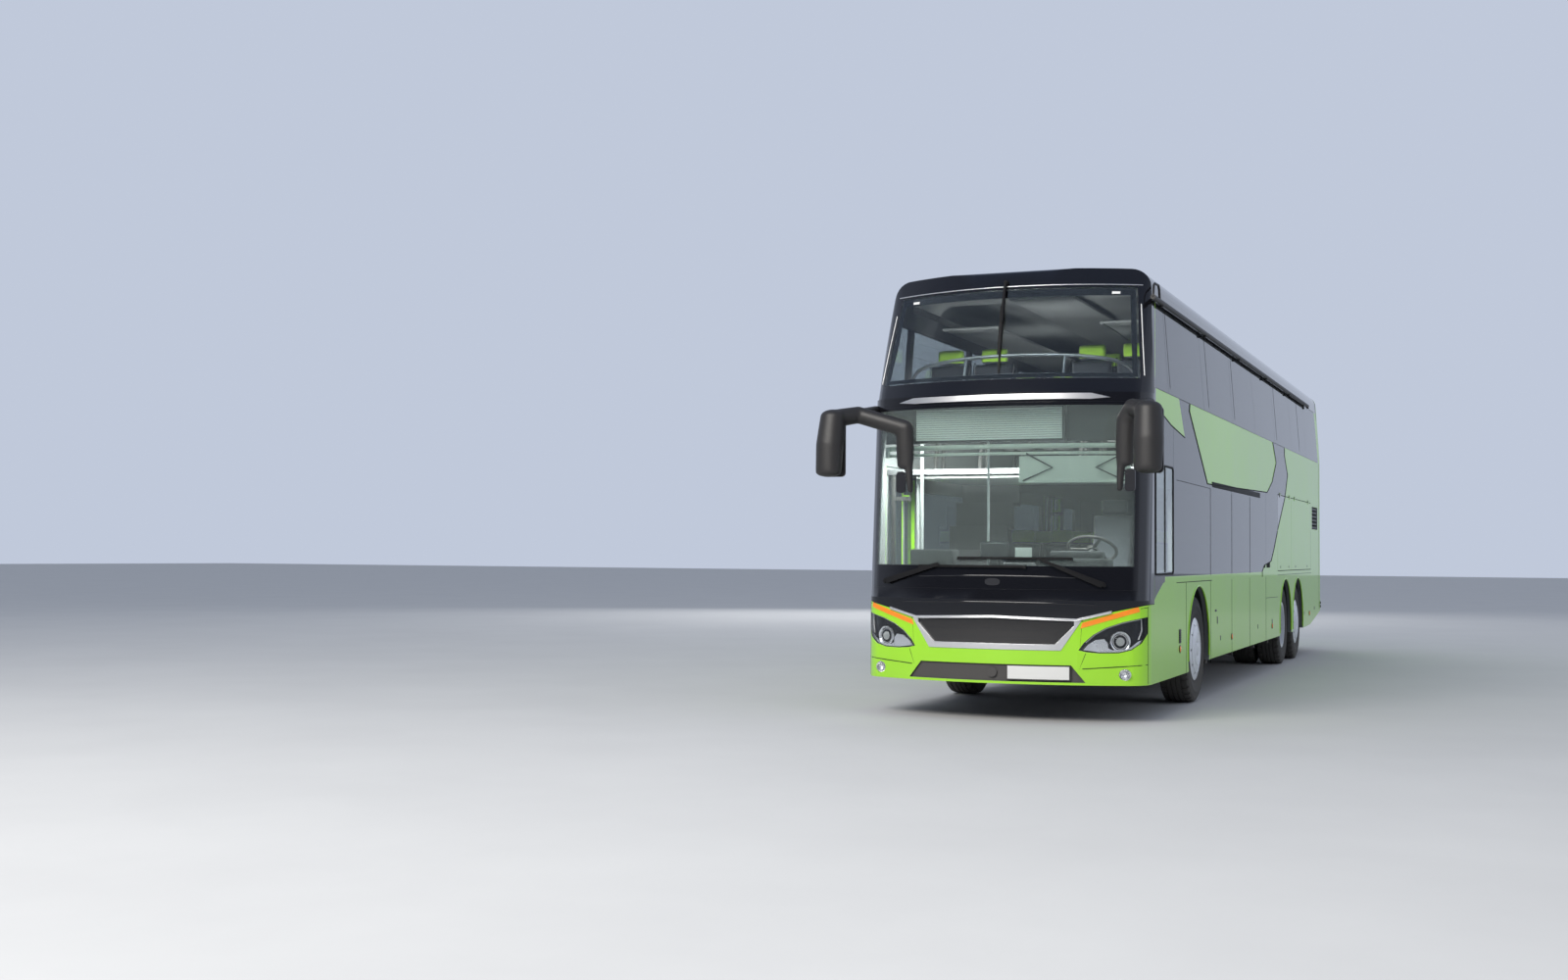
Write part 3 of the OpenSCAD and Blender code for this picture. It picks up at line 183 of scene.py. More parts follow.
def crossedThreads(group, coords, given):
    waves = []
    for direction in "XYZ":
        wave = group.nodes.new("ShaderNodeTexWave")
        wave.bands_direction = direction
        for label, value in (("Distortion", 0.6), ("Vector", coords), ("Scale", given["Threads"])):
            feed(group, wave.inputs[label], value)
        waves.append(wave.outputs["Fac"])
    crossed = mathNode(group, "ADD", mathNode(group, "MULTIPLY", waves[0], waves[1]),
                       mathNode(group, "MULTIPLY", waves[2], 0.5))
    return crossed, bumpNode(group, crossed, given["Strength"], 0.001)


roadDust = newGroup("roadDust", {"Top": 1.2, "Amount": 0.4, "Patch": 2.0},
                    {"Mask": "Float", "Mottle": "Float"}, roadFilm)
skinBump = newGroup("skinBump", {"Scale": 60.0, "Strength": 0.1, "Depth": 0.001},
                    {"Normal": "Vector", "Height": "Float"}, fineGrain)
clothWeave = newGroup("clothWeave", {"Threads": 300.0, "Strength": 0.4}, {"Mask": "Float", "Normal": "Vector"},
                      crossedThreads)
dustColour = (0.23, 0.21, 0.18, 1)


def newMaterial(name, **values):
    # a Principled material; values are given by socket name, with _ for a space
    material = bpy.data.materials.new(name)
    material.use_nodes = True
    shader = material.node_tree.nodes["Principled BSDF"]
    for label, value in values.items():
        shader.inputs[label.replace("_", " ")].default_value = value
    return material, material.node_tree, shader.inputs


def groupNode(tree, group, values):
    node = tree.nodes.new("ShaderNodeGroup")
    node.node_tree = group
    for socket, value in zip(node.inputs, values):
        socket.default_value = value
    return node.outputs


def surface(name, colour, roughness, metallic=0.0, coat=0.0, grain=(60, 0.05), dust=(1.1, 0.3), mottle=0.06,
            transmission=0.0, ior=1.5, sheen=0.0, glow=None):
    # colour and roughness vary with dust and mottle, the normal with the fine grain
    material, tree, shader = newMaterial(name, Metallic=metallic, Coat_Weight=coat, Coat_Roughness=0.03,
                                         Transmission_Weight=transmission, IOR=ior, Sheen_Weight=sheen)
    dirt, skin = groupNode(tree, roadDust, dust), groupNode(tree, skinBump, grain)
    shade = mixNode(tree, dirt["Mottle"], (*[c * (1 - mottle) for c in colour], 1),
                    (*[min(1, c * (1 + mottle)) for c in colour], 1))
    uneven = mathNode(tree, "ADD", roughness, mathNode(tree, "MULTIPLY", dirt["Mottle"], 0.25 * roughness))
    dusty = mathNode(tree, "ADD", mathNode(tree, "MULTIPLY", dirt["Mask"], 0.5), uneven, True)
    for label, source in (("Base Color", mixNode(tree, dirt["Mask"], shade, dustColour)), ("Normal", skin["Normal"]),
                          ("Roughness", dusty)):
        tree.links.new(source, shader[label])
    if glow:
        shader["Emission Color"].default_value = (*glow[0], 1)
        shader["Emission Strength"].default_value = glow[1]
    return material


def cloth(name, colour, thread, strength, roughness=0.85):
    material, tree, shader = newMaterial(name, Roughness=roughness, Sheen_Weight=0.3)
    weave = groupNode(tree, clothWeave, (420.0, strength))
    tree.links.new(mixNode(tree, weave["Mask"], (*colour, 1), (*thread, 1)), shader["Base Color"])
    tree.links.new(weave["Normal"], shader["Normal"])
    return material


paints = {
    "lime": surface("limePaint", (0.33, 0.72, 0.010), 0.3, coat=0.7, grain=(4, 0.006), dust=(0.8, 0.16)),
    "gloss": surface("glossBlack", (0.006, 0.006, 0.008), 0.09, coat=0.6, grain=(3, 0.004), dust=(0.9, 0.10)),
    "grille": surface("grilleBlack", (0.012, 0.011, 0.011), 0.14, coat=0.6, grain=(40, 0.01), dust=(0.9, 0.08)),
    "intake": surface("intakeGrey", (0.055, 0.052, 0.050), 0.55, grain=(300, 0.12), dust=(0.7, 0.15)),
    "chrome": surface("brightChrome", (0.93, 0.93, 0.93), 0.26, 0.9, grain=(30, 0.01), dust=(1.1, 0.04)),
    "moulding": surface("mouldedBlack", (0.022, 0.021, 0.021), 0.42, grain=(700, 0.25), dust=(0.8, 0.2)),
    "lampBowl": surface("lampBowl", (0.92, 0.92, 0.94), 0.5, 0.5, grain=(25, 0.05), dust=(0.4, 0.0)),
    "wiper": surface("wiperBlack", (0.010, 0.010, 0.011), 0.5, ior=1.25, grain=(300, 0.1), dust=(0.4, 0.0)),
    "rubber": surface("sealRubber", (0.015, 0.015, 0.016), 0.6, grain=(200, 0.1)),
    "frame": surface("chassisPaint", (0.02, 0.02, 0.022), 0.45, grain=(40, 0.2), dust=(1.3, 0.7)),
    "casting": surface("castIron", (0.05, 0.048, 0.046), 0.6, 0.4, grain=(120, 0.5), dust=(1.2, 0.8)),
    "floor": surface("safetyFloor", (0.07, 0.07, 0.075), 0.7, grain=(500, 0.3), dust=(0.6, 0.2), mottle=0.3),
    "lining": surface("bayLining", (0.16, 0.16, 0.165), 0.8, grain=(300, 0.3)),
    "dash": surface("dashMoulding", (0.03, 0.031, 0.034), 0.55, grain=(600, 0.35), dust=(0.4, 0.1)),
    "wheel": surface("wheelEnamel", (0.84, 0.86, 0.90), 0.3, 0.2, 0.5, (50, 0.03), (1.0, 0.35), 0.04),
    "tyre": surface("tyreRubber", (0.018, 0.018, 0.018), 0.62, grain=(160, 0.25), dust=(1.0, 0.5), mottle=0.2),
    "steel": surface("plainSteel", (0.45, 0.45, 0.46), 0.35, 1.0, grain=(90, 0.1)),
    "white": surface("plateWhite", (0.78, 0.78, 0.76), 0.4, coat=0.3, grain=(300, 0.04)),
    "amber": surface("amberLens", (0.86, 0.25, 0.004), 0.15, coat=1.0, grain=(40, 0.03), glow=((1.0, 0.25, 0.0), 0.14)),
    "red": surface("redLens", (0.6, 0.01, 0.012), 0.15, coat=1.0, grain=(60, 0.05), glow=((0.6, 0.0, 0.0), 0.08)),
    "silver": surface("reflectorSilver", (0.92, 0.92, 0.94), 0.24, 0.9, grain=(25, 0.05), dust=(0.4, 0.0)),
    "lampDark": surface("lampBezel", (0.006, 0.007, 0.012), 0.3, grain=(80, 0.03), dust=(0.4, 0.0)),
    "blind": surface("blindCloth", (0.62, 0.66, 0.6), 0.8, grain=(900, 0.3), dust=(0.3, 0.0), sheen=0.2),
    "ceiling": surface("ceilingTrim", (0.52, 0.53, 0.53), 0.75, grain=(500, 0.2), dust=(0.3, 0.0)),
    "inner": surface("innerTrim", (0.16, 0.165, 0.17), 0.7, grain=(500, 0.25), dust=(0.5, 0.2)),
    "handrail": surface("railPaint", (0.55, 0.57, 0.58), 0.3, 0.7, grain=(70, 0.05)),
    "shadow": surface("seamShadow", (0.006, 0.007, 0.006), 0.7, grain=(100, 0.1), dust=(0.4, 0.0)),
    "seat": cloth("seatCloth", (0.025, 0.028, 0.034), (0.06, 0.065, 0.075), 0.5),
    "head": cloth("headrestCloth", (0.30, 0.55, 0.04), (0.42, 0.70, 0.08), 0.35, 0.6),
}
panes = {  # glass: (name, colour, roughness, transmission, index, grain, dust, mottle)
    "lens": ("clearLens", (0.95, 0.97, 0.98), 0.02, 1.0, 1.28, (10, 0.003), (0.6, 0.04), 0.0),
    "screen": ("screenGlass", (0.80, 0.92, 0.89), 0.012, 0.94, 1.5, (1, 0.002), (1.3, 0.04), 0.01),
    "upperScreen": ("upperScreenGlass", (0.60, 0.66, 0.68), 0.012, 1.0, 1.5, (1, 0.002), (1.3, 0.02), 0.01),
    "tinted": ("tintedGlass", (0.10, 0.115, 0.13), 0.012, 0.9, 1.55, (0.8, 0.002), (1.5, 0.04), 0.03),
}
for key, (name, colour, roughness, clear, ior, grain, dust, mottle) in panes.items():
    paints[key] = surface(name, colour, roughness, transmission=clear, ior=ior, grain=grain, dust=dust, mottle=mottle)
print("stage: materials", len(bpy.data.materials))

# making pieces


def join(*meshes):
    # puts several bmeshes into one
    whole = bmesh.new()
    for bm in meshes:
        carried = bpy.data.meshes.new("carried")
        bm.to_mesh(carried)
        bm.free()
        whole.from_mesh(carried)
        bpy.data.meshes.remove(carried)
    return whole


def addPiece(name, shapes, paint, body="coach", smooth=40, replaced=(), bevel=0.0, mend=True, flatten=False):
    # one or several finished bmeshes become an object that rides on a body
    bm = join(*shapes) if isinstance(shapes, (list, tuple)) else shapes
    if mend:
        bmesh.ops.recalc_face_normals(bm, faces=bm.faces)
    mesh = bpy.data.meshes.new(name)
    bm.to_mesh(mesh)
    bm.free()
    for key in (paint,) if isinstance(paint, str) else paint:
        mesh.materials.append(paints[key])
    mesh.shade_smooth()
    mesh.set_sharp_from_angle(angle=math.radians(smooth))
    piece = bpy.data.objects.new(name, mesh)
    bpy.context.scene.collection.objects.link(piece)
    if bevel:
        edge = piece.modifiers.new("edges", "BEVEL")
        edge.width, edge.segments, edge.limit_method, edge.angle_limit = bevel, 2, "ANGLE", math.radians(40)
        edge.harden_normals = True
    if flatten:
        piece.modifiers.new("flatFaces", "WEIGHTED_NORMAL").keep_sharp = True
    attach(piece, body)
    if replaced:
        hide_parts(*replaced)
    return piece


def allOf(bm):
    return bm.verts[:] + bm.edges[:] + bm.faces[:]


def roundEdges(bm, edges, offset, segments=2):
    bmesh.ops.bevel(bm, geom=edges, offset=offset, segments=segments, profile=0.5, affect="EDGES", material=-1)


def nodeMesh(nodeName):
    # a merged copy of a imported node, its flat faces joined again
    bm = bmesh.new()
    bm.from_mesh(frame["nodes"][nodeName].data)
    bmesh.ops.remove_doubles(bm, verts=bm.verts, dist=0.00004)
    bmesh.ops.dissolve_limit(bm, angle_limit=math.radians(0.5), verts=bm.verts, edges=bm.edges)
    return bm


def outlineFace(bm, points, depth=0.0):
    # a flat face in the y-z plane, its depth along x
    return bm.faces.new([bm.verts.new((depth, y, z)) for y, z in points])


def pushOut(bm, faces, vector):
    grown = bmesh.ops.extrude_face_region(bm, geom=faces)["geom"]
    bmesh.ops.translate(bm, vec=vector, verts=[v for v in grown if isinstance(v, bmesh.types.BMVert)])


def sliceAcross(bm, axis, places):
    # cuts the mesh at planes across an axis, so that it can follow a curve
    normal = Vector([float(i == axis) for i in range(3)])
    for place in places:
        bmesh.ops.bisect_plane(bm, geom=allOf(bm), plane_co=normal * place, plane_no=normal, dist=0.00001)


def wrapFront(bm):
    # bends a flat piece on to the front: x was its depth inwards
    for v in bm.verts:
        v.co.x = frontX(v.co.y, v.co.z, -v.co.x)


def mirrorY(bm):
    bmesh.ops.mirror(bm, geom=allOf(bm), merge_dist=-1, axis="Y", matrix=Matrix.Identity(4))


frontCuts = [i * 0.05 for i in range(-19, 20)] + [s * (1.0 + 0.015 * i) for i in range(18) for s in (-1, 1)]


def frontPanel(points, depth0, depth1, mirror=True, bevel=0.0):
    # a panel on the front's skin between two depths, on both sides if mirrored
    bm = bmesh.new()
    pushOut(bm, [outlineFace(bm, points, depth0)], (depth1 - depth0, 0, 0))
    if bevel:
        outer = min(depth0, depth1)
        roundEdges(bm, [e for e in bm.edges if abs(e.verts[0].co.x - e.verts[1].co.x) < 1e-6
                        and e.verts[0].co.x == outer], bevel)
    ys, zs = zip(*points)
    sliceAcross(bm, 1, [c for c in frontCuts if min(ys) < c < max(ys)])
    sliceAcross(bm, 2, [c for c in (noseShape["leanZ"], browZ) if min(zs) < c < max(zs)])
    wrapFront(bm)
    if mirror:
        mirrorY(bm)
    return bm


def tubeAlong(points, radius, closed=False, sides=3, kind="POLY"):
    # a round bar through points, made from a curve
    curve = bpy.data.curves.new("path", "CURVE")
    curve.dimensions, curve.bevel_depth, curve.bevel_resolution = "3D", radius, sides
    curve.use_fill_caps = True
    spline = curve.splines.new(kind)
    spline.points.add(len(points) - 1)
    for point, place in zip(spline.points, points):
        point.co = (*place, 1)
    spline.use_cyclic_u = closed
    if kind == "NURBS":
        spline.use_endpoint_u, spline.order_u = True, 4
    holder = bpy.data.objects.new("path", curve)
    mesh = bpy.data.meshes.new_from_object(holder)
    bm = bmesh.new()
    bm.from_mesh(mesh)
    bpy.data.objects.remove(holder)
    bpy.data.meshes.remove(mesh)
    bpy.data.curves.remove(curve)
    bmesh.ops.remove_doubles(bm, verts=bm.verts, dist=0.00001)
    return bm


def frontTube(path, out, radius, **traits):
    # a round bar along the front's skin, from y and z
    return tubeAlong([(frontX(y, z, out), y, z) for y, z in path], radius, **traits)


def copies(bm, matrices):
    # the same shape at several places
    carried = bpy.data.meshes.new("carried")
    bm.to_mesh(carried)
    bm.free()
    whole = bmesh.new()
    for matrix in matrices:
        start = len(whole.verts)
        whole.from_mesh(carried)
        whole.verts.ensure_lookup_table()
        bmesh.ops.transform(whole, matrix=matrix, verts=whole.verts[start:])
    bpy.data.meshes.remove(carried)
    return whole


def block(centre, size, bevel=0.0, segments=2):
    bm = bmesh.new()
    bmesh.ops.create_cube(bm, size=1.0, matrix=Matrix.Translation(centre) @ Matrix.Diagonal((*size, 1)))
    if bevel:
        roundEdges(bm, bm.edges[:], bevel, segments)
    return bm


def turned(profile, centre, axis, steps=48, closedProfile=False):
    # spins a profile of (radius, distance along the axis) about a centre
    axis = Vector(axis).normalized()
    side = axis.orthogonal().normalized()
    bm = bmesh.new()
    verts = [bm.verts.new(Vector(centre) + side * r + axis * d) for r, d in profile]
    edges = [bm.edges.new(pair) for pair in zip(verts, verts[1:])]
    if closedProfile:
        edges.append(bm.edges.new((verts[-1], verts[0])))
    bmesh.ops.spin(bm, geom=verts + edges, cent=centre, axis=axis, angle=math.tau, steps=steps, use_merge=True)
    bmesh.ops.remove_doubles(bm, verts=bm.verts, dist=0.00002)
    return bm


# the coach's own panels: material, width of the rounded edges, angle that stays sharp, nodes
dressing = (
    ("lime", 0.003, 28, "front_bumper rear_wall engine_lid"), ("lime", 0.0, 28, "wall_left wall_right"),
    ("lime", 0.002, 28, "flap_left_fore flap_left_aft flap_right_fore flap_right_aft front_door mid_door"),
    ("gloss", 0.002, 28, "front_mask front_crown"),
    ("tinted", 0.001, 28, "side_windows rear_window front_door_glass mid_door_glass"),
    ("screen", 0.0015, 28, "windscreens"), ("chrome", 0.003, 28, "front_chrome"), ("grille", 0.002, 28, "front_trim"),
    ("moulding", 0.002, 35, "front_door_arm mid_door_arm"), ("frame", 0.002, 35, "chassis_frame"),
    ("casting", 0.004, 35, "front_axle drive_axle tag_axle"),
    ("casting", 0.002, 35, "knuckle_front_left knuckle_front_right knuckle_tag_left knuckle_tag_right"),
    ("floor", 0.004, 35, "lower_floor upper_floor"), ("floor", 0.003, 35, "stairs"),
    ("lining", 0.003, 35, "luggage_bay"), ("dash", 0.012, 35, "cockpit"), ("moulding", 0.003, 35, "steering_wheel"),
    ("casting", 0.004, 35, "engine"),
    ("wheel", 0.002, 30, "wheel_front_left wheel_front_right wheel_tag_left wheel_tag_right wheel_drive_left"
                         " wheel_drive_right"),
)
nodeBody = {name: body for body, names in frame["record"]["behaviour"]["bodies"].items() for name in names}
screenPrint = {"low": 1.340, "high": 2.735, "side": 1.165}  # the lower screen is printed black outside these
driverPane = {"from": 0.66, "to": 1.49, "low": 1.265, "high": 2.25}  # clear pane beside the driver, on the left
blackZ = {"strip": 3.70, "sill": 1.24}  # the walls are black above the strip, and above the sill at the nose
darkEdge = {"place": Vector((station(8.75), 0, 1.79)), "across": Vector((0.44, 0, 0.74))}  # on the fore flaps
tailCorner = {"centre": 0.15, "inside": 0.138}  # the rear wall's rounded corners: centre from both skins, inner radius
flaps = ("flap_left_fore", "flap_left_aft", "flap_right_fore", "flap_right_aft")
hungPanels = flaps + ("front_door", "mid_door", "engine_lid")
twoSided = ("wall_left", "wall_right", "rear_wall", "front_bumper", "front_mask", "front_crown") + hungPanels


def pieceName(nodeName):
    first, *rest = nodeName.split("_")
    return first + "".join(word.capitalize() for word in rest) + "Shape"


def hungFace(nodeName, face, middle):
    # slot of a face on a flap, door or lid: 1 inside, 2 in the dark field, else 0
    inward = face.normal.x > 0.3 if nodeName == "engine_lid" else face.normal.y * middle.y < -0.3
    dark = nodeName.endswith("_fore") and not inward and (middle - darkEdge["place"]).dot(darkEdge["across"]) > 0
    return 1 if inward else 2 if dark else 0


def skinFace(nodeName, face, middle):
    # slot of a face on a wall or the front: 0 on the skin, 2 where the skin is black, 1 for linings, edges and steps
    outward = abs(middle.y) > sideY(middle.z) - 0.004 and face.normal.y * middle.y > 0.3
    behind = middle.x < rearX + 0.005 and face.normal.x < -0.2
    inset = tailCorner["centre"]
    fromCentre = math.hypot(middle.x - rearX - inset, abs(middle.y) - sideY(middle.z) + inset)
    corner = middle.x < rearX + inset + 0.001 and fromCentre > tailCorner["inside"]
    nose = middle.x > frontX(min(abs(middle.y), halfWidth - 0.001), middle.z) - 0.004
    dome = nodeName == "front_crown" and face.normal.z > 0.1 and middle.z > 3.8
    if outward and (middle.z > blackZ["strip"] or (middle.z > blackZ["sill"] and middle.x > station(0.72))):
        return 2
    return 0 if outward or behind or corner or nose or dome else 1


for paint, bevel, sharp, nodeNames in dressing:
    for nodeName in nodeNames.split():
        bm = nodeMesh(nodeName)
        slots = [paint, "inner", "gloss"]
        if nodeName.startswith("wall"):
            sliceAcross(bm, 2, [blackZ["sill"], blackZ["strip"]])
            sliceAcross(bm, 0, [station(0.70)])
        if nodeName in ("flap_left_fore", "flap_right_fore"):
            bmesh.ops.bisect_plane(bm, geom=allOf(bm), plane_co=darkEdge["place"], plane_no=darkEdge["across"])
        if nodeName in twoSided:
            bm.normal_update()
            sort = hungFace if nodeName in hungPanels else skinFace
            for face in bm.faces:
                face.material_index = sort(nodeName, face, face.calc_center_median())
        if nodeName == "windscreens":
            slots[1:] = ["gloss", "upperScreen"]
            sliceAcross(bm, 1, (-screenPrint["side"], screenPrint["side"]))
            sliceAcross(bm, 2, (screenPrint["low"], screenPrint["high"]))
            for face in bm.faces:
                middle = face.calc_center_median()
                clear = screenPrint["low"] < middle.z < screenPrint["high"] and abs(middle.y) < screenPrint["side"]
                face.material_index = 2 if middle.z > browZ else 0 if clear else 1
        if nodeName == "side_windows":
            slots[2] = "screen"
            sliceAcross(bm, 0, [station(driverPane["from"]), station(driverPane["to"])])
            sliceAcross(bm, 2, [driverPane["low"], driverPane["high"]])
            for face in bm.faces:
                middle = face.calc_center_median()
                if middle.y > 0 and driverPane["from"] < noseX - middle.x < driverPane["to"] \
                        and driverPane["low"] < middle.z < driverPane["high"]:
                    face.material_index = 2
        if nodeName == "front_trim":
            slots[2] = "intake"
            for face in bm.faces:
                if face.calc_center_median().z < 0.56:  # the lower intake, under the grille
                    face.material_index = 2
        addPiece(pieceName(nodeName), bm, slots, nodeBody[nodeName], sharp, (nodeName,), bevel, False, not bevel)
print("stage: panels")

# roof: green top between dark gloss edges

greenHalf = 1.12  # half width of the green field
roofBm = nodeMesh("roof")
bmesh.ops.delete(roofBm, geom=[f for f in roofBm.faces if f.calc_area() < 1e-9], context="FACES_ONLY")
sliceAcross(roofBm, 1, [-greenHalf, greenHalf])
roofBm.normal_update()
for face in roofBm.faces:
    aside = abs(face.calc_center_median().y)
    under = face.normal.z < 0.02 and aside < halfWidth - 0.12
    face.material_index = 2 if under else int(aside < greenHalf)
addPiece("roofShape", roofBm, ("gloss", "lime", "ceiling"), smooth=28, replaced=("roof",), mend=False, flatten=True)

# front: lamps

lampOutline = [(0.733, 0.628), (0.775, 0.690), (0.850, 0.760), (0.950, 0.820), (1.080, 0.868), (1.262, 0.912),
               (1.262, 0.770), (1.225, 0.690), (1.150, 0.632), (1.050, 0.606), (0.900, 0.604), (0.800, 0.612)]
scoopOutline = [(0.768, 0.630), (0.806, 0.676), (0.866, 0.716), (0.936, 0.724), (0.962, 0.690), (0.966, 0.648),
                (1.0, 0.630), (1.09, 0.636), (1.15, 0.662), (1.19, 0.70), (1.225, 0.72), (1.20, 0.672), (1.14, 0.636),
                (1.05, 0.614), (0.90, 0.612)]
lightLine = lampOutline[1:5] + [(1.225, 0.902), (1.228, 0.80), (1.205, 0.72)]
indicatorOutline = [(0.748, 0.812), (1.214, 0.958), (1.204, 0.999), (0.764, 0.861)]
lampShape = {"middle": (1.0, 0.74), "lensDepth": 0.004, "trayDepth": 0.042, "rimDepth": 0.007, "rimWidth": 0.014}


def grown(points, share):
    # an outline scaled about the headlamp's middle
    middleY, middleZ = lampShape["middle"]
    return [(middleY + (y - middleY) * share, middleZ + (z - middleZ) * share) for y, z in points]


def frontPair(path, out, radius, **traits):
    # a bar on the front's skin and its mirror image
    return [frontTube([(s * y, z) for y, z in path], out, radius, **traits) for s in (-1, 1)]


def frontTurn(y, z, depth, profile, steps=48, straight=False):
    # a round part that faces as the skin does, or straight ahead
    slope = 0.0 if straight else (frontX(y + 0.004, z) - frontX(y - 0.004, z)) / 0.008
    return turned(profile, (frontX(y, z, -depth), y, z), Vector((1, -slope, 0.0)).normalized(), steps)


# dark housing: a tray that steps back behind the lens
tray = frontPanel(grown(lampOutline, 0.995), lampShape["trayDepth"], lampShape["trayDepth"] - 0.004)
rimBm = bmesh.new()
outer = outlineFace(rimBm, grown(lampOutline, 0.995), lampShape["rimDepth"])
bmesh.ops.inset_region(rimBm, faces=[outer], thickness=lampShape["rimWidth"], depth=0.0)
bmesh.ops.delete(rimBm, geom=[f for f in rimBm.faces if len(f.verts) > 4], context="FACES")
pushOut(rimBm, rimBm.faces[:], (lampShape["trayDepth"] - 0.009, 0, 0))
sliceAcross(rimBm, 1, [c for c in frontCuts if 0.74 < c < 1.26])
wrapFront(rimBm)
mirrorY(rimBm)
addPiece("headlampHousing", (tray, rimBm), "lampDark", smooth=30)
cover = frontPanel(grown(lampOutline, 0.997), lampShape["lensDepth"], lampShape["lensDepth"] + 0.003)
addPiece("headlampCover", cover, "lens", smooth=30, replaced=("lamps",))

lampEyes = {"projector": (1.054, 0.702, 0.084), "reflector": (0.885, 0.672, 0.034), "fog": (1.10, 0.423, 0.049)}
lampParts = (  # piece, paint, sharp angle, and for each lamp: depth, (share of its radius, distance forwards)
    # painted highlight: a plain white disc in the middle of each lamp stands in for the bright glint at the lens's
    # centre
    ("headlampGlintCores", "white", 50, {"projector": (0.040, [(0.42, 0.0055), (0.0, 0.008)]),
                                    "reflector": (0.040, [(0.5, 0.0055), (0.0, 0.008)])}),
    ("headlampRings", "silver", 50, {
        "projector": (0.040, [(0.72, -0.030), (0.80, 0.004), (0.90, 0.018), (1, 0.020), (1.04, 0.014), (1.04, -0.03)]),
        "reflector": (0.040, [(0.75, -0.02), (0.85, 0.006), (1, 0.016), (1.06, 0.012), (1.06, -0.02)])}),
    ("headlampBowls", "lampBowl", 50, {"projector": (0.040, [(0.0, -0.006), (0.5, -0.002), (0.76, 0.004)]),
                                       "reflector": (0.040, [(0.0, -0.012), (0.4, -0.008), (0.8, 0.004)])}),
    ("headlampEyes", "lens", 60, {
        "projector": (0.040, [(0.73, 0.0), (0.66, 0.012), (0.45, 0.022), (0.2, 0.027), (0.0, 0.028)])}),
)
fogParts = (
    ("fogRings", "chrome", 50, {
        "fog": (0.002, [(0.86, -0.03), (0.88, 0.0), (0.95, 0.005), (1.02, 0.002), (1.02, -0.03)])}),
    ("fogBowls", "silver", 50, {"fog": (0.004, [(0.0, -0.026), (0.3, -0.024), (0.87, -0.006)])}),
    ("fogLenses", "lens", 50, {"fog": (0.004, [(0.87, -0.006), (0.84, -0.001), (0.5, 0.004), (0.0, 0.006)])}),
)


def addLamps(table):
    for name, paint, sharp, lamps in table:
        shapes = []
        for lamp, (depth, profile) in lamps.items():
            y, z, radius = lampEyes[lamp]
            spun = [(radius * share, far) for share, far in profile]
            shapes.append(frontTurn(y, z, depth, spun, straight=lamp == "fog"))
            mirrorY(shapes[-1])
        addPiece(name, shapes, paint, smooth=sharp)


addLamps(lampParts)
addPiece("headlampScoop", frontPanel(scoopOutline, 0.036, 0.016, bevel=0.003), "silver")
addPiece("headlampLightLine", frontPair(grown(lightLine, 0.955), -0.022, 0.006), "white", smooth=60)

# orange strip with fine upright ribs
addPiece("indicatorStrip", frontPanel(indicatorOutline, -0.003, 0.03, bevel=0.002), "amber", smooth=30)
ribs = []
ribShape = {"count": 30, "first": 0.776, "pitch": 0.0148, "z": 0.841, "slope": 0.141 / 0.448}
for i in range(ribShape["count"]):
    y = ribShape["first"] + i * ribShape["pitch"]
    z = ribShape["z"] + (y - 0.762) * ribShape["slope"]
    ribs += frontPair([(y, z - 0.018), (y, z + 0.014)], 0.0035, 0.0022, sides=2)
addPiece("indicatorRibs", ribs, "amber", smooth=60)
addLamps(fogParts)

# front: mask, grille and trim


def oval(width, height, z, steps=40, power=0.8):
    turns = [math.tau * i / steps for i in range(steps)]
    return [(width / 2 * math.copysign(abs(math.cos(a)) ** power, math.cos(a)),
             z + height / 2 * math.copysign(abs(math.sin(a)) ** power, math.sin(a))) for a in turns]


def between(start, end, steps=10):
    return [tuple(a + (b - a) * i / steps for a, b in zip(start, end)) for i in range(steps + 1)]


def rect(y0, y1, z0, z1):
    return [(y0, z0), (y1, z0), (y1, z1), (y0, z1)]


def ridgeZ(y):
    # height of the join between mask and bumper: level, then rising to the lamp
    return 0.916 - 0.020 * y / 0.72 if y < 0.72 else 0.896 + 0.070 * (y - 0.72) / 0.274


sensorShape = {"width": 0.135, "height": 0.062, "z": 1.203}
addPiece("sensorWindow", frontPanel(oval(**sensorShape), -0.001, -0.004, mirror=False, bevel=0.001), "lampDark")
creases = []  # level ridges pressed into the mask
for z, half in ((1.255, 0.70), (1.028, 0.86)):
    path = [(half * i / 16, z - 0.010 * (half * i / 16 / half) ** 2) for i in range(-16, 17)]
    creases.append(tubeAlong([(frontX(y, z, -0.0065), y, dropped) for y, dropped in path], 0.0105, sides=4))
addPiece("maskCreases", creases, "gloss", smooth=60)
ridges = []  # chrome, along the join of mask and bumper
for drop in (0.0, 0.014):
    ridges += frontPair([(i * 0.04, ridgeZ(i * 0.04) - drop - 0.005) for i in range(26)], 0.015, 0.0045)
addPiece("chromeRidges", ridges, "chrome", smooth=60)
slats = []  # two faint ridges on the grille's smooth panel
for z in (0.80, 0.725):
    half = 0.66 - max(0.0, 0.836 - z) * 0.97
    slats.append(frontPanel(rect(-half, half, z - 0.006, z), 0.010, 0.007, mirror=False, bevel=0.001))
addPiece("grilleSlats", slats, "gloss", smooth=30)

plate = {"y": (0.140, 0.660), "z": (0.375, 0.485), "holder": 0.010}


def plateAt(grow):
    (y0, y1), (z0, z1) = plate["y"], plate["z"]
    return rect(y0 - grow, y1 + grow, z0 - grow, z1 + grow)


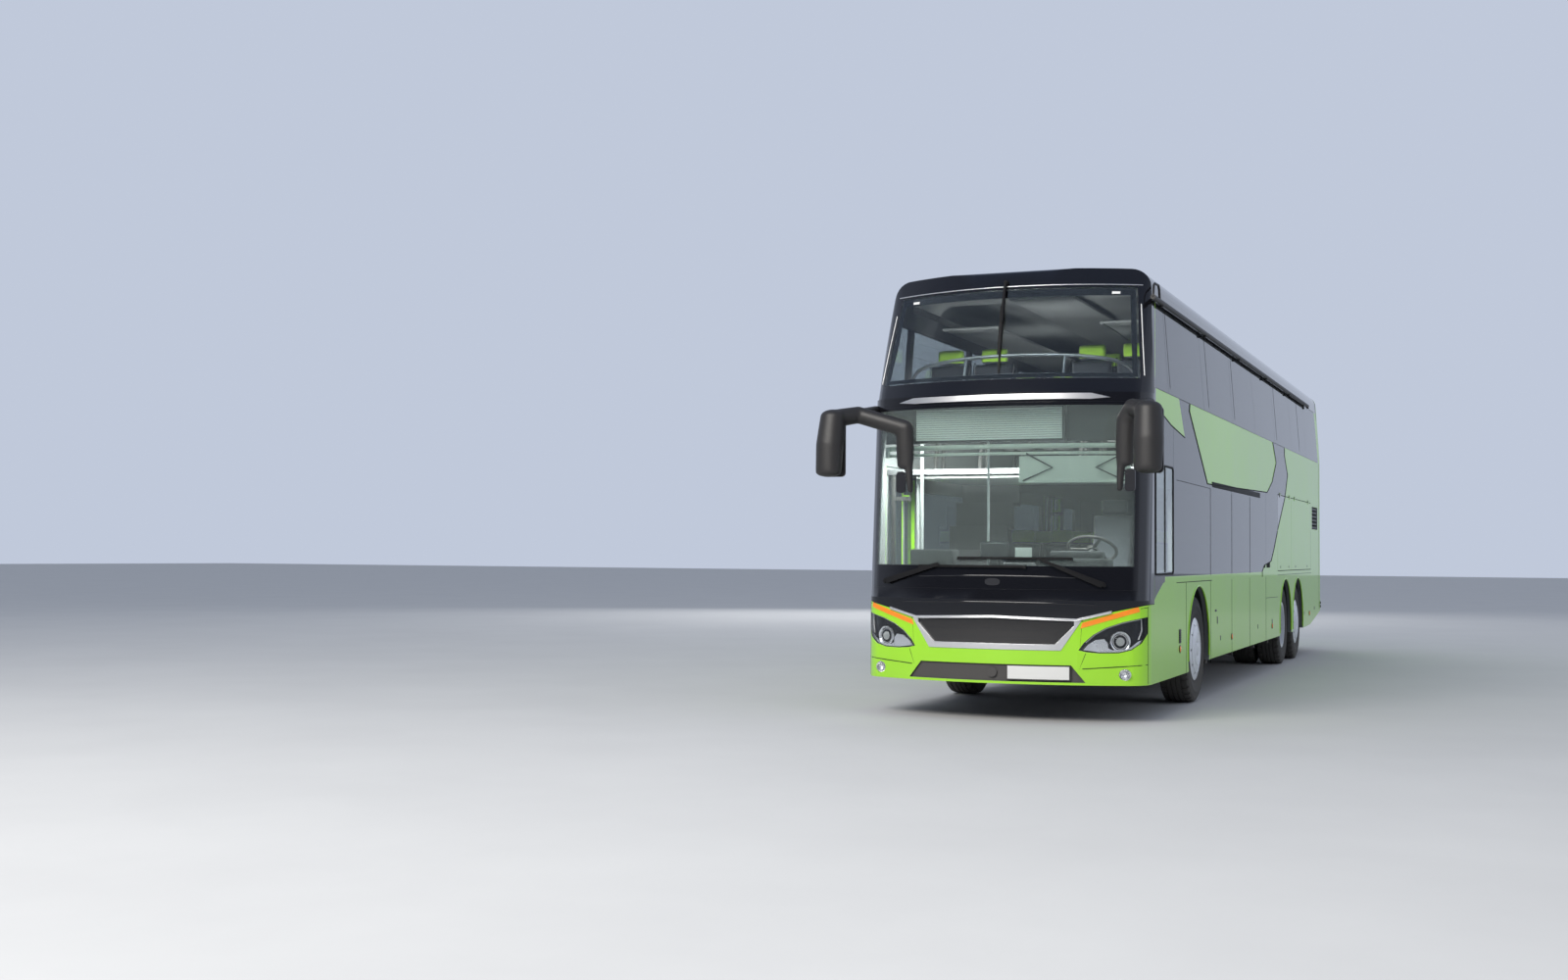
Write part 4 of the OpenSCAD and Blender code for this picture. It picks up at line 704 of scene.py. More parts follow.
for name, points, inner, outer, bevel, paint, sharp in (
        ("towCover", oval(0.086, 0.086, 0.427, power=1.0), 0.004, -0.001, 0.001, "intake", 40),
        ("plateHolder", plateAt(plate["holder"]), 0.017, -0.006, 0.003, "moulding", 35),
        ("plateBlank", plateAt(0.0), -0.006, -0.008, 0.001, "white", 35)):
    addPiece(name, frontPanel(points, inner, outer, mirror=False, bevel=bevel), paint, smooth=sharp)

# panel gaps of the bumper: at the corner, from the lamp's inner tip up, and down to the intake
gaps = frontPair([(1.2615, z) for z in (0.34, 0.5, 0.7, 0.9, 1.0)], -0.001, 0.0032, sides=2)
for start, end, out in (((0.745, 0.650), (0.757, 0.815), -0.0015), ((0.790, 0.600), (0.735, 0.455), -0.0015),
                        ((0.765, 0.470), (1.262, 0.505), 0.0018), ((0.768, 0.865), (0.762, 0.895), -0.0015),
                        ((1.215, 0.985), (1.262, 0.992), -0.0015)):
    gaps += frontPair(between(start, end), out, 0.0035, sides=2)
addPiece("bumperGaps", gaps, "shadow", smooth=60)
print("stage: front details")

# wheels and tyres

tyreShape = {"rim": 0.2863, "tread": 0.013, "steps": 96, "notchDepth": 0.009}
hubs = {"front": (1.100,), "drive": (1.090, 0.756), "tag": (1.100,)}  # distances of the tyres from the centre line
wheelPlaces = [(axle, side, label, axle.capitalize() + label.capitalize()) for axle in hubs
               for side, label in ((1, "left"), (-1, "right"))]


def tyreBm(x, y):
    # one tyre spun from its section, with ribs, shoulder notches and sidewall rings
    r, g, rim, steps = wheelZ, tyreShape["tread"], tyreShape["rim"], tyreShape["steps"]
    half = [(r, 0.0), (r, 0.017), (r - g, 0.019), (r - g, 0.027), (r, 0.029), (r - 0.001, 0.066), (r - g, 0.068),
            (r - g, 0.077), (r - 0.0015, 0.079), (r - 0.003, 0.108), (r - 0.009, 0.126), (r - 0.020, 0.134),
            (r - 0.034, 0.138), (r - 0.036, 0.1415), (r - 0.048, 0.143), (r - 0.050, 0.1405), (r - 0.080, 0.1462),
            (r - 0.098, 0.1478), (r - 0.100, 0.1490), (r - 0.106, 0.1490), (r - 0.108, 0.1478), (r - 0.150, 0.1455),
            (r - 0.178, 0.139), (rim + 0.042, 0.134), (rim + 0.040, 0.1375), (rim + 0.026, 0.1365),
            (rim + 0.018, 0.130), (rim + 0.004, 0.120), (rim, 0.118)]
    profile = half + [(radius, -offset) for radius, offset in reversed(half[1:])]
    bm = turned(profile, (x, y, r), (0, 1, 0), steps, closedProfile=True)
    notched = []  # every third face of the two shoulders
    for face in bm.faces:
        middle = face.calc_center_median() - Vector((x, y, r))
        step = int(math.degrees(math.atan2(middle.z, middle.x)) % 360 / 360 * steps)
        if math.hypot(middle.x, middle.z) > r - 0.016 and 0.081 < abs(middle.y) < 0.131 and step % 3 == 0:
            notched.append(face)
    bmesh.ops.recalc_face_normals(bm, faces=bm.faces)
    bmesh.ops.inset_region(bm, faces=notched, thickness=0.002, depth=-tyreShape["notchDepth"])
    return bm


for axle, side, label, place in wheelPlaces:
    node = f"tyre_{axle}_{label}"
    addPiece("tyre" + place, [tyreBm(axleX[axle], side * y) for y in hubs[axle]], "tyre", nodeBody[node], 32, (node,))

nutShape = {"radius": 0.1675, "size": 0.0185, "height": 0.034, "along": -0.135}
capProfile = [(0.0, 0.126), (0.020, 0.126), (0.030, 0.122), (0.085, 0.1185), (0.092, 0.112), (0.092, 0.106)]
screwShape = {"radius": 0.074, "along": 0.120}


def around(middle, side, radius, along, count):
    # places round a wheel's axis, turned to point along it
    turn = Matrix.Rotation(math.radians(-90 * side), 4, "X")
    return [Matrix.Translation(middle + Vector((math.cos(a) * radius, side * along, math.sin(a) * radius))) @ turn
            for a in [math.tau * i / count for i in range(count)]]


for axle, side, label, place in wheelPlaces:
    body = nodeBody[f"wheel_{axle}_{label}"]
    middle = Vector((axleX[axle], side * hubs[axle][0], wheelZ))
    if axle == "drive":
        nut, screw = bmesh.new(), bmesh.new()
        bmesh.ops.create_cone(nut, cap_ends=True, segments=6, radius1=nutShape["size"], radius2=nutShape["size"] * 0.9,
                              depth=nutShape["height"])
        roundEdges(nut, nut.edges[:], 0.0015)
        nuts = copies(nut, around(middle, side, nutShape["radius"], nutShape["along"], 10))
        bmesh.ops.create_cone(screw, cap_ends=True, segments=12, radius1=0.006, radius2=0.005, depth=0.006)
        screws = copies(screw, around(middle, side, screwShape["radius"], screwShape["along"], 8))
        cap = turned(capProfile, middle, (0, side, 0))
        addPiece("wheelNuts" + label.capitalize(), (nuts, cap, screws), "steel", body)
    else:  # a pressed ring and a slim bead that catch the light on the cover
        rings = [turned([(ring, reach), (ring + 0.004, reach + 0.0035), (ring + 0.009, reach - 0.001)], middle,
                        (0, side, 0), 96) for ring, reach in ((0.150, 0.157), (0.228, 0.1475))]
        addPiece("coverRings" + place, rings, "wheel", body, 60)
    inner, outer = (0.10, 0.128) if axle == "drive" else (0.12, 0.142)
    valve = tubeAlong([middle + Vector((0.236, side * inner, 0.02)),
                       middle + Vector((0.240, side * outer, 0.021))], 0.005)
    addPiece("valve" + place, valve, "steel", body)
print("stage: wheels")

# mirrors

mirrorShape = {"headX": noseX + 0.25, "headY": 1.405, "elbow": (noseX + 0.050, 1.225, 2.675), "legX": noseX + 0.030,
               "voxel": 0.012, "rounding": 9}
headX, headY, elbow, legX = [mirrorShape[key] for key in ("headX", "headY", "elbow", "legX")]


def hulled(*balls):
    # a taut skin over some balls, each with its centre and its three radii
    shapes = []
    for centre, size in balls:
        shapes.append(bmesh.new())
        bmesh.ops.create_uvsphere(shapes[-1], u_segments=24, v_segments=16, radius=1.0,
                                  matrix=Matrix.Translation(centre) @ Matrix.Diagonal((*size, 1)))
    bm = join(*shapes)
    bmesh.ops.convex_hull(bm, input=bm.verts)
    bmesh.ops.delete(bm, geom=[v for v in bm.verts if not v.link_faces], context="VERTS")
    return bm


def roundedPad(centre, size, rounding):
    # a block whose four edges along x are rounded
    bm = block(centre, size)
    roundEdges(bm, [e for e in bm.edges if abs(e.verts[0].co.x - e.verts[1].co.x) > 0.005], rounding, 5)
    return bm


mirrorSides = []
for s, legY, kneeZ in ((1, 1.160, 2.57), (-1, 0.785, 2.545)):
    elbowBall, kneeBall = (elbow, (0.072, 0.072, 0.076)), ((legX, legY + 0.01, kneeZ), (0.066, 0.084, 0.076))
    side = join(
        hulled(((headX + 0.055, headY, 2.155), (0.090, 0.118, 0.045)),
               ((headX + 0.025, headY, 2.40), (0.112, 0.125, 0.10)),
               ((headX - 0.025, headY - 0.01, 2.65), (0.115, 0.115, 0.065))),
        hulled(((headX - 0.035, headY - 0.03, 2.635), (0.090, 0.095, 0.080)), elbowBall),
        hulled(elbowBall, kneeBall),
        hulled(kneeBall, ((legX, legY, 2.36), (0.054, 0.082, 0.05)), ((legX, legY, 2.215), (0.048, 0.076, 0.03))),
        hulled(((legX, legY - 0.030, 2.25), (0.042, 0.040, 0.04)), ((legX, legY - 0.045, 2.00), (0.030, 0.028, 0.03))),
        hulled((elbow, (0.055, 0.055, 0.055)), ((station(0.52), 1.262, 2.76), (0.045, 0.045, 0.045))))
    bmesh.ops.scale(side, vec=(1, s, 1), verts=side.verts)
    mirrorSides.append(side)
mirrorHeads = addPiece("mirrorHousings", mirrorSides, "moulding", smooth=80, replaced=("mirrors",))
remesh = mirrorHeads.modifiers.new("shell", "REMESH")
remesh.mode, remesh.voxel_size, remesh.use_smooth_shade = "VOXEL", mirrorShape["voxel"], True
softened = mirrorHeads.modifiers.new("rounding", "SMOOTH")
softened.factor, softened.iterations = 0.5, mirrorShape["rounding"]

# glass on the heads' rear faces, the wide-angle glass under it, their surrounds, and the small kerb mirrors
addPiece("mirrorGlass", [roundedPad((headX - 0.098, s * headY, (low + high) / 2), (0.012, 0.185, high - low), 0.03)
                         for low, high in ((2.275, 2.66), (2.125, 2.262)) for s in (-1, 1)], "silver", smooth=30)
addPiece("mirrorSurrounds", [roundedPad((headX - 0.086, s * headY, 2.393), (0.030, 0.205, 0.55), 0.036)
                             for s in (-1, 1)], "moulding", smooth=30)
kerb = []
for s, y in ((1, 1.20), (-1, 0.83)):
    kerb.append(roundedPad((noseX + 0.010, s * y, 2.07), (0.022, 0.085, 0.19), 0.03))
    for z, radius in ((2.150, 0.008), (2.120, 0.006)):
        kerb.append(tubeAlong([(noseX + 0.025, s * (y - 0.09), z), (noseX + 0.010, s * (y + 0.02), z)], radius))
addPiece("kerbMirrors", kerb, "lampDark")

# wipers

lowerWipers = (  # y and z of the pivot and of the elbow, both ends of the blade and its height
    (-1.05, 1.195, -0.494, 1.352, -0.688, 0.285, 1.333), (0.932, 1.183, 0.407, 1.400, -0.309, 0.672, 1.405))
armShape = {"pivotHalf": 0.016, "elbowHalf": 0.007, "tilt": 0.022}
wide, slim = armShape["pivotHalf"], armShape["elbowHalf"]
arms, blades = [], []
for pivotY, pivotZ, elbowY, elbowZ, left, right, z in lowerWipers:
    tilt = armShape["tilt"] if elbowY > pivotY else -armShape["tilt"]
    outline = [(pivotY - wide, pivotZ + tilt), (pivotY + wide, pivotZ - tilt), (elbowY + slim, elbowZ - tilt / 2),
               (elbowY - slim, elbowZ + tilt / 2 + 0.006)]
    arms.append(frontPanel(outline, -0.020, -0.038, mirror=False, bevel=0.003))
    arms.append(frontTurn(pivotY, pivotZ, -0.004, [(0.021, -0.01), (0.021, 0.022), (0.016, 0.030), (0.0, 0.031)], 24))
    for y0, y1, low, high, near, far, bevel in (  # carrier, rubber lip and the two end caps
            (left, right, -0.006, 0.013, -0.012, -0.030, 0.004), (left, right, -0.012, -0.008, -0.002, -0.018, 0.0),
            (left - 0.012, left + 0.012, -0.014, 0.013, -0.006, -0.033, 0.004),
            (right - 0.012, right + 0.012, -0.014, 0.013, -0.006, -0.033, 0.004)):
        blades.append(frontPanel(rect(y0, y1, z + low, z + high), near, far, mirror=False, bevel=bevel))
    arms.append(tubeAlong([(frontX(elbowY, elbowZ, 0.032), elbowY, elbowZ),
                           (frontX(elbowY, z, 0.026), elbowY, z)], 0.007))
# the upper wiper hangs from the dome
arms.append(frontTube([(-0.030, 3.880), (-0.034, 3.80), (-0.030, 3.62), (-0.022, 3.50)], 0.026, 0.014))
arms.append(frontTurn(-0.03, 3.88, 0.0, [(0.022, -0.03), (0.022, 0.030), (0.016, 0.037), (0.0, 0.037)], 24))
blades.append(frontPanel([(-0.052, 3.90), (-0.026, 3.90), (0.004, 3.03), (-0.013, 3.03)], -0.006, -0.020, mirror=False))
blades.append(frontPanel([(-0.052, 3.66), (-0.026, 3.66), (-0.006, 3.20), (-0.032, 3.20)], -0.020, -0.034, mirror=False,
                         bevel=0.003))
addPiece("wiperArms", arms, "wiper", replaced=("wipers",))
addPiece("wiperBlades", blades, "wiper")
print("stage: mirrors and wipers")

# seats

seatShape = {
    "rows": [(2.19, 4, 1, "upper"), (7.90, 7, 1, "upper"), (4.10, 12, -1, "upper"), (4.05, 2, 1, "lower"),
             (7.85, 1, 1, "lower"), (4.05, 2, -1, "lower"), (5.63, 1, -1, "lower"), (1.40, 1, 1, "upper"),
             (1.40, 1, -1, "upper")],  # station of the first seat, number, side, deck
    "pitch": 0.790, "benchY": 0.700, "apart": 0.440, "driver": (station(1.62), 0.640, 0.760),
    "voxel": 0.024, "pressure": 4.0, "steps": 16, "cap": 0.014, "seamWidth": 0.03, "seamDepth": 0.006,
}
cushionSide = [(-0.150, 0.390), (0.280, 0.390), (0.312, 0.404), (0.322, 0.435), (0.312, 0.468), (0.285, 0.486),
               (0.150, 0.492), (0.0, 0.480), (-0.148, 0.484)]
backSide = [(-0.195, 0.385), (-0.100, 0.397), (-0.102, 0.500), (-0.124, 0.620), (-0.155, 0.700), (-0.210, 0.900),
            (-0.249, 1.055), (-0.265, 1.073), (-0.300, 1.080), (-0.331, 1.068), (-0.340, 1.040), (-0.300, 0.850)]
headSide = [(-0.264, 1.062), (-0.255, 1.100), (-0.264, 1.188), (-0.286, 1.211), (-0.324, 1.211), (-0.342, 1.188),
            (-0.339, 1.062)]


def sideProfile(points, width):
    # a seat part from its side outline, its rim rounded
    bm = bmesh.new()
    pushOut(bm, [bm.faces.new([bm.verts.new((x, -width / 2, z)) for x, z in points])], (0, width, 0))
    bmesh.ops.recalc_face_normals(bm, faces=bm.faces)
    roundEdges(bm, [e for e in bm.edges if abs(abs(e.verts[0].co.y) - width / 2) < 1e-6
                    and abs(e.verts[0].co.y - e.verts[1].co.y) < 1e-6], 0.022, 3)
    return bm


def applyAll(pad):
    evaluated = pad.evaluated_get(bpy.context.evaluated_depsgraph_get())
    mesh = bpy.data.meshes.new_from_object(evaluated)
    pad.modifiers.clear()
    pad.data = mesh


def stuffed(bm, cap, seams):
    # remeshed, blown up as cloth, then sewn channels are drawn in
    mesh = bpy.data.meshes.new("padForm")
    bm.to_mesh(mesh)
    bm.free()
    pad = bpy.data.objects.new("padForm", mesh)
    bpy.context.scene.collection.objects.link(pad)
    remesh = pad.modifiers.new("grid", "REMESH")
    remesh.mode, remesh.voxel_size = "VOXEL", seatShape["voxel"]
    bpy.context.view_layer.update()
    applyAll(pad)
    start = [v.co.copy() for v in pad.data.vertices]
    air = pad.modifiers.new("air", "CLOTH").settings
    air.use_pressure, air.uniform_pressure_force = True, seatShape["pressure"]
    air.effector_weights.gravity = 0
    air.quality = 5
    bpy.context.scene.frame_start, bpy.context.scene.frame_end = 1, seatShape["steps"]
    for step in range(1, seatShape["steps"] + 1):
        bpy.context.scene.frame_set(step)
    applyAll(pad)
    bpy.context.scene.frame_set(1)
    soft = bmesh.new()
    soft.from_mesh(pad.data)
    for vert, rest in zip(soft.verts, start):
        move = vert.co - rest
        if move.length > cap:
            vert.co = rest + move.normalized() * cap
    bmesh.ops.smooth_vert(soft, verts=soft.verts, factor=0.4, use_axis_x=True, use_axis_y=True, use_axis_z=True)
    for axis, place in seams:
        for vert in soft.verts:
            away = abs(vert.co[axis] - place)
            if away < seatShape["seamWidth"]:
                vert.co -= vert.normal * seatShape["seamDepth"] * (1 - away / seatShape["seamWidth"])
    bpy.data.objects.remove(pad)
    return soft


cushionBm = stuffed(sideProfile(cushionSide, 0.400), seatShape["cap"], [(1, 0.13), (1, -0.13)])
backBm = stuffed(sideProfile(backSide, 0.396), seatShape["cap"], [(2, 0.62), (2, 0.86), (1, 0.13), (1, -0.13)])
headBm = stuffed(sideProfile(headSide, 0.250), seatShape["cap"] * 0.8, [])
coverBm = headBm.copy()  # a cloth band over the upper front, sewn at its lower hem
bmesh.ops.bisect_plane(coverBm, geom=allOf(coverBm), plane_co=(0, 0, 1.085), plane_no=(0, 0, -1), clear_outer=True)
coverBm.normal_update()
bmesh.ops.solidify(coverBm, geom=coverBm.faces[:], thickness=-0.004)

decks = {"upper": [], "lower": []}
deckZ = {"upper": upperFloorZ, "lower": lowerFloorZ}
for first, count, side, deck in seatShape["rows"]:
    for i in range(count):
        for shift in (-seatShape["apart"] / 2, seatShape["apart"] / 2):
            decks[deck].append(Matrix.Translation((station(first + i * seatShape["pitch"]),
                                                   side * seatShape["benchY"] + shift, deckZ[deck])))
allPlaces = decks["upper"] + decks["lower"] + [Matrix.Translation(seatShape["driver"])]
seatGroups = {"UpperFore": decks["upper"][:8] + decks["upper"][-4:], "UpperLeft": decks["upper"][8:22],
              "UpperRight": decks["upper"][22:-4], "Lower": allPlaces[len(decks["upper"]):]}
for padName, bm, paint, fill in (("seatCushions", cushionBm, "seat", 0.7), ("seatBacks", backBm, "seat", 0.7),
                                 ("headrests", headBm, "seat", 0.8)):
    for name, places in seatGroups.items():
        pads = addPiece(padName + name, copies(bm.copy(), places), paint, smooth=60, mend=False)
for name, places in seatGroups.items():  # the driver's headrest has no cover
    covered = places[:-1] if name == "Lower" else places
    addPiece("headrestCovers" + name, copies(coverBm.copy(), covered), "head", smooth=60, mend=False)

piping = []  # along the seams of cushion and back
for points, width in ((cushionSide, 0.400), (backSide, 0.396)):
    middleX, middleZ = [sum(values) / len(points) for values in zip(*points)]
    shrunk = [(middleX + (x - middleX) * 0.985, middleZ + (z - middleZ) * 0.985) for x, z in points]
    for s in (-1, 1):
        piping.append(tubeAlong([(x, s * (width / 2 - 0.004), z) for x, z in shrunk], 0.0045, closed=True, sides=1))
addPiece("seatPiping", copies(join(*piping), allPlaces), "rubber", smooth=60)

backTilt = Matrix.Rotation(math.radians(-13), 4, "Y") @ Matrix.Translation((0.16, 0, 0.02))
trays = copies(block((-0.318, 0.0, 0.76), (0.016, 0.34, 0.20), 0.006), [place @ backTilt for place in allPlaces[:-1]])
addPiece("seatTrays", trays, "dash")
seatFrame = join(
    block((-0.015, -0.218, 0.575), (0.330, 0.030, 0.036), 0.012),  # armrest and its strut
    tubeAlong([(-0.150, -0.218, 0.395), (-0.155, -0.218, 0.56)], 0.014),
    tubeAlong([(0.180, 0.0, 0.003), (0.175, 0.0, 0.10), (0.10, 0.0, 0.30), (0.08, 0.0, 0.385)], 0.020),  # legs
    tubeAlong([(-0.060, 0.0, 0.003), (-0.050, 0.0, 0.385)], 0.020),
    block((0.06, 0.0, 0.012), (0.34, 0.055, 0.018), 0.005),
    tubeAlong([(-0.11, -0.20, 0.385), (-0.11, 0.20, 0.385)], 0.016),  # beam, and the handle behind the back
    tubeAlong([(-0.335, -0.13, 1.01), (-0.362, -0.12, 1.02), (-0.362, 0.12, 1.02), (-0.335, 0.13, 1.01)], 0.008))
addPiece("seatFrames", copies(seatFrame, allPlaces), "moulding", replaced=("seats",))
print("stage: seats", len(allPlaces))

# inside: sign, blind, handrails and dashboard

signShape = {"x": 6.44, "y": -0.14, "low": 2.455, "width": 1.34, "height": 0.278, "slats": 14}
signX, signY, signLow, signWide, signHigh, slatCount = signShape.values()
signZ, slatHigh = signLow + signHigh / 2, signHigh / slatCount
addPiece("signCase", block((signX - 0.045, signY, signZ), (0.07, signWide + 0.05, signHigh + 0.04), 0.008), "dash")
addPiece("headerPanel", block((signX - 0.095, 0, signZ + 0.01), (0.02, 2.26, signHigh + 0.06), 0.006), "dash")
addPiece("signSlats", [block((signX - 0.004, signY, signLow + slatHigh * (i + 0.5)), (0.012, signWide, slatHigh * 0.86),
                             0.004) for i in range(slatCount)], "white")

blindShape = {"x": 6.30, "bow": 0.13, "y": 0.63, "z": 2.19, "wide": 0.955, "high": 0.225, "wave": 0.004}


def blindX(y, out=0.17):
    return blindShape["x"] + out - blindShape["bow"] * abs(y / 1.1) ** 2


def blindTube(path, radius, out=0.17):
    return tubeAlong([(blindX(y, out), y, z) for y, z in path], radius)


bars = [blindTube([(i * 0.1, z) for i in range(-11, 12)], radius) for z, radius in ((2.392, 0.022), (2.328, 0.014))]
bars += [block((blindShape["x"] + 0.05, s * 1.11, 2.36), (0.06, 0.03, 0.10), 0.008) for s in (-1, 1)]
addPiece("blindRails", bars, "blind", smooth=60)
sheetBm = bmesh.new()
upright = Matrix.Rotation(math.radians(90), 4, "Y") @ Matrix.Rotation(math.radians(90), 4, "Z")
stretched = Matrix.Diagonal((1, blindShape["wide"], blindShape["high"], 1))
bmesh.ops.create_grid(sheetBm, x_segments=24, y_segments=12, size=0.5,
                      matrix=Matrix.Translation((0, blindShape["y"], blindShape["z"])) @ stretched @ upright)
for v in sheetBm.verts:
    v.co.x = blindX(v.co.y) + blindShape["wave"] * math.sin(v.co.y * 40)
bmesh.ops.solidify(sheetBm, geom=sheetBm.faces[:], thickness=0.0015)
blindSheet = addPiece("blindSheet", sheetBm, "blind", smooth=60)
addPiece("blindHem", blindTube([(0.154 + i * 0.0955, 2.078) for i in range(11)], 0.012), "blind", smooth=60)
addPiece("blindScissors", [blindTube(path, 0.008, 0.185) for path in (
    [(0.22, 2.325), (0.45, 2.20), (0.19, 2.085)], [(1.06, 2.325), (0.82, 2.20), (1.06, 2.085)])], "moulding", smooth=60)

arch = [(5.82, -1.08, 2.98), (5.90, -1.04, 3.12), (5.99, -0.90, 3.19), (6.06, -0.46, 3.235), (6.08, 0.0, 3.245),
        (6.06, 0.46, 3.235), (5.99, 0.90, 3.19), (5.90, 1.04, 3.12), (5.82, 1.08, 2.98)]  # before the upper seats
rails = [tubeAlong(points, radius) for points, radius in (  # centre post and door poles
    ([(6.418, -0.140, 2.46), (6.470, -0.125, 1.32)], 0.011), ([(6.09, -0.872, 2.49), (6.09, -0.872, 0.55)], 0.017),
    ([(5.86, -0.99, 2.20), (5.86, -0.99, 0.55)], 0.017))]
rails.append(tubeAlong(arch, 0.017, kind="NURBS", sides=4))
rails += [tubeAlong([(6.06, y, 3.225), (6.16, y, 2.95)], 0.014) for y in (-0.46, 0.46)]
rails.append(tubeAlong([(6.20, -1.00, 3.02), (6.30, -0.5, 3.03), (6.34, 0.0, 3.035), (6.30, 0.5, 3.03),
                        (6.20, 1.0, 3.02)], 0.016))
addPiece("handrails", rails, "handrail", smooth=60)

addPiece("dashParts", [block(*spec) for spec in (
    ((6.40, 0.64, 1.355), (0.24, 0.62, 0.11), 0.03, 3), ((6.33, 0.64, 1.44), (0.16, 0.46, 0.07), 0.025, 3),
    ((6.45, -0.63, 1.40), (0.20, 0.40, 0.16), 0.02, 3), ((6.52, -0.04, 1.345), (0.12, 0.10, 0.08), 0.012),
    ((6.20, 0.02, 1.33), (0.30, 0.36, 0.07), 0.02))], "dash")
addPiece("dashMonitor", block((6.55, -0.04, 1.475), (0.035, 0.27, 0.155), 0.022, 4), "lampDark")
addPiece("dashCard", block((6.615, 0.235, 1.45), (0.006, 0.15, 0.10), 0.002), "white")
dialProfile = [(0.0, 0.0), (0.05, 0.0), (0.054, 0.006), (0.058, 0.0)]
addPiece("dashDials", [turned(dialProfile, (6.285, 0.64 + y, 1.40), (-1, 0, 0.9), 32) for y in (-0.13, 0.0, 0.13)],
         "gloss")
stripZ = [1.34 + i * 0.08 for i in range(15)]  # pale strips on the two front pillars, behind the screen
addPiece("pillarStrips", [tubeAlong([(frontX(1.243, z, -0.055), s * 1.215, z) for z in stripZ], 0.012)
                          for s in (-1, 1)], "handrail", smooth=60)
addPiece("ceilingPanels", (block((station(1.55), 0, upperFloorZ - 0.075), (1.6, 1.9, 0.02), 0.006),
                           block((station(6.9), 0, roofZ - 0.10), (10.6, 0.62, 0.03), 0.01)), "ceiling")
racks = []
for s in (-1, 1):
    racks.append(tubeAlong([(station(1.9), s * 0.52, roofZ - 0.33), (station(13.3), s * 0.52, roofZ - 0.33)], 0.018))
    racks.append(block((station(7.6), s * 0.80, roofZ - 0.325), (11.4, 0.56, 0.022), 0.008))
addPiece("luggageRacks", racks, "ceiling")
print("stage: inside")

# sides

both, leftOnly, rightOnly = (1, -1), (1,), (-1,)


def sideRun(path, radius=0.003, lift=-0.001, sides=both):
    # a slim line on the skin of one or both sides, from stations and heights
    points = []
    for start, end in zip(path, path[1:]):
        curved = max(start[1], end[1]) > sideShape["shoulderZ"]
        points += between(start, end, max(1, int(math.dist(start, end) / 0.25)) if curved else 1)[:-1]
    points.append(path[-1])
    return [tubeAlong([(station(a), s * (sideY(b) + lift), b) for a, b in points], radius, sides=1) for s in sides]


def sidePatch(points, out0, out1, sides=both, bevel=0.0):
    # a flat patch on the lower side, between two distances out of the skin
    patches = []
    for s in sides:
        bm = bmesh.new()
        pushOut(bm, [bm.faces.new([bm.verts.new((station(a), s * (halfWidth + out0), b)) for a, b in points])],
                (0, s * (out1 - out0), 0))
        if bevel:
            roundEdges(bm, [e for e in bm.edges if all(abs(abs(v.co.y) - halfWidth - out1) < 1e-6 for v in e.verts)],
                       bevel)
        patches.append(bm)
    return patches


def boxed(a, b, width, height):
    return rect(a - width / 2, a + width / 2, b - height / 2, b + height / 2)


def sideTurn(profile, a, b, s, steps, lift=0.0):
    # a round part on the side's skin
    return turned(profile, (station(a), s * (halfWidth + lift), b), (0, s, 0), steps)


skirtZ, sillZ = 0.345, 1.19  # lower edges of the flaps and of the glass
seams = []
for a, low, high in ((2.144, 0.30, sillZ), (3.53, skirtZ, sillZ), (4.91, skirtZ, sillZ), (7.62, skirtZ, sillZ),
                     (13.62, 0.62, 2.9), *[(a, 1.24, 2.13) for a in (3.53, 4.92, 6.28)],  # joints between the panes
                     *[(a, 2.96, 3.69) for a in (1.388, 3.48, 5.19, 8.73, 11.2)]):
    seams += sideRun([(a, low), (a, high)])
seams += sideRun([(6.25, skirtZ), (6.25, sillZ)], sides=leftOnly) + sideRun([(7.62, 0.925), (8.72, 0.915)])
seams += sideRun([(8.75, 1.20), (12.55, 1.20)], lift=-0.0015) + sideRun([(1.66, sillZ), (3.6, sillZ)], 0.004)
seams += sideRun([(9.9, 3.700), (13.55, 3.700)]) + sideRun([(1.66, 2.14), (3.53, 2.13)])
addPiece("sideSeams", seams, "shadow", smooth=60)

# black triangle where the mask runs on to the side, and frame of the driver's window
cornerOutline = [(0.634, 1.255), (0.634, 1.055), (0.70, 1.085), (1.00, 1.19), (1.10, 1.205), (1.10, 1.255)]
addPiece("maskCorners", sidePatch(cornerOutline, -0.002, 0.0008, leftOnly), "gloss", smooth=30)
frameRun = [(0.675, 1.275), (1.46, 1.275), (1.485, 1.30), (1.485, 2.215), (1.46, 2.24), (0.675, 2.24)]
addPiece("driverWindowFrame", tubeAlong([(station(a), halfWidth - 0.004, b) for a, b in frameRun], 0.013, closed=True),
         "wiper", smooth=50)
addPiece("driverWindowSlide", sideRun([(1.10, 1.29), (1.10, 2.23)], 0.006, 0.002, leftOnly), "moulding", smooth=60)

# outlines of the green fields and the slot under the middle one
waist = [(2.352, 2.902), (2.332, 2.83), (3.352, 2.172), (7.76, 2.242), (8.218, 2.392), (8.606, 2.66), (8.284, 2.902)]
corner = [(0.69, 2.75), (1.17, 2.67), (1.40, 2.63), (2.085, 2.56)]
tail = [(9.46, 2.90), (9.46, 2.80), (9.79, 2.55), (9.49, 2.23), (8.75, 1.79)]
tailLow = [(8.72, 1.77), (8.39, 1.54), (8.11, 1.38), (7.48, 1.33), (7.30, 1.25), (7.30, 1.19)]
addPiece("fieldOutlines", sideRun(waist, 0.007) + sideRun(corner, 0.006) + sideRun(tail, 0.006)
         + sideRun(tailLow, 0.006, sides=leftOnly) + sideRun(tailLow[:4], 0.006, sides=rightOnly), "shadow", smooth=60)
slotOutline = [(3.65, 2.150), (7.11, 2.150), (7.11, 2.212), (3.62, 2.205)]
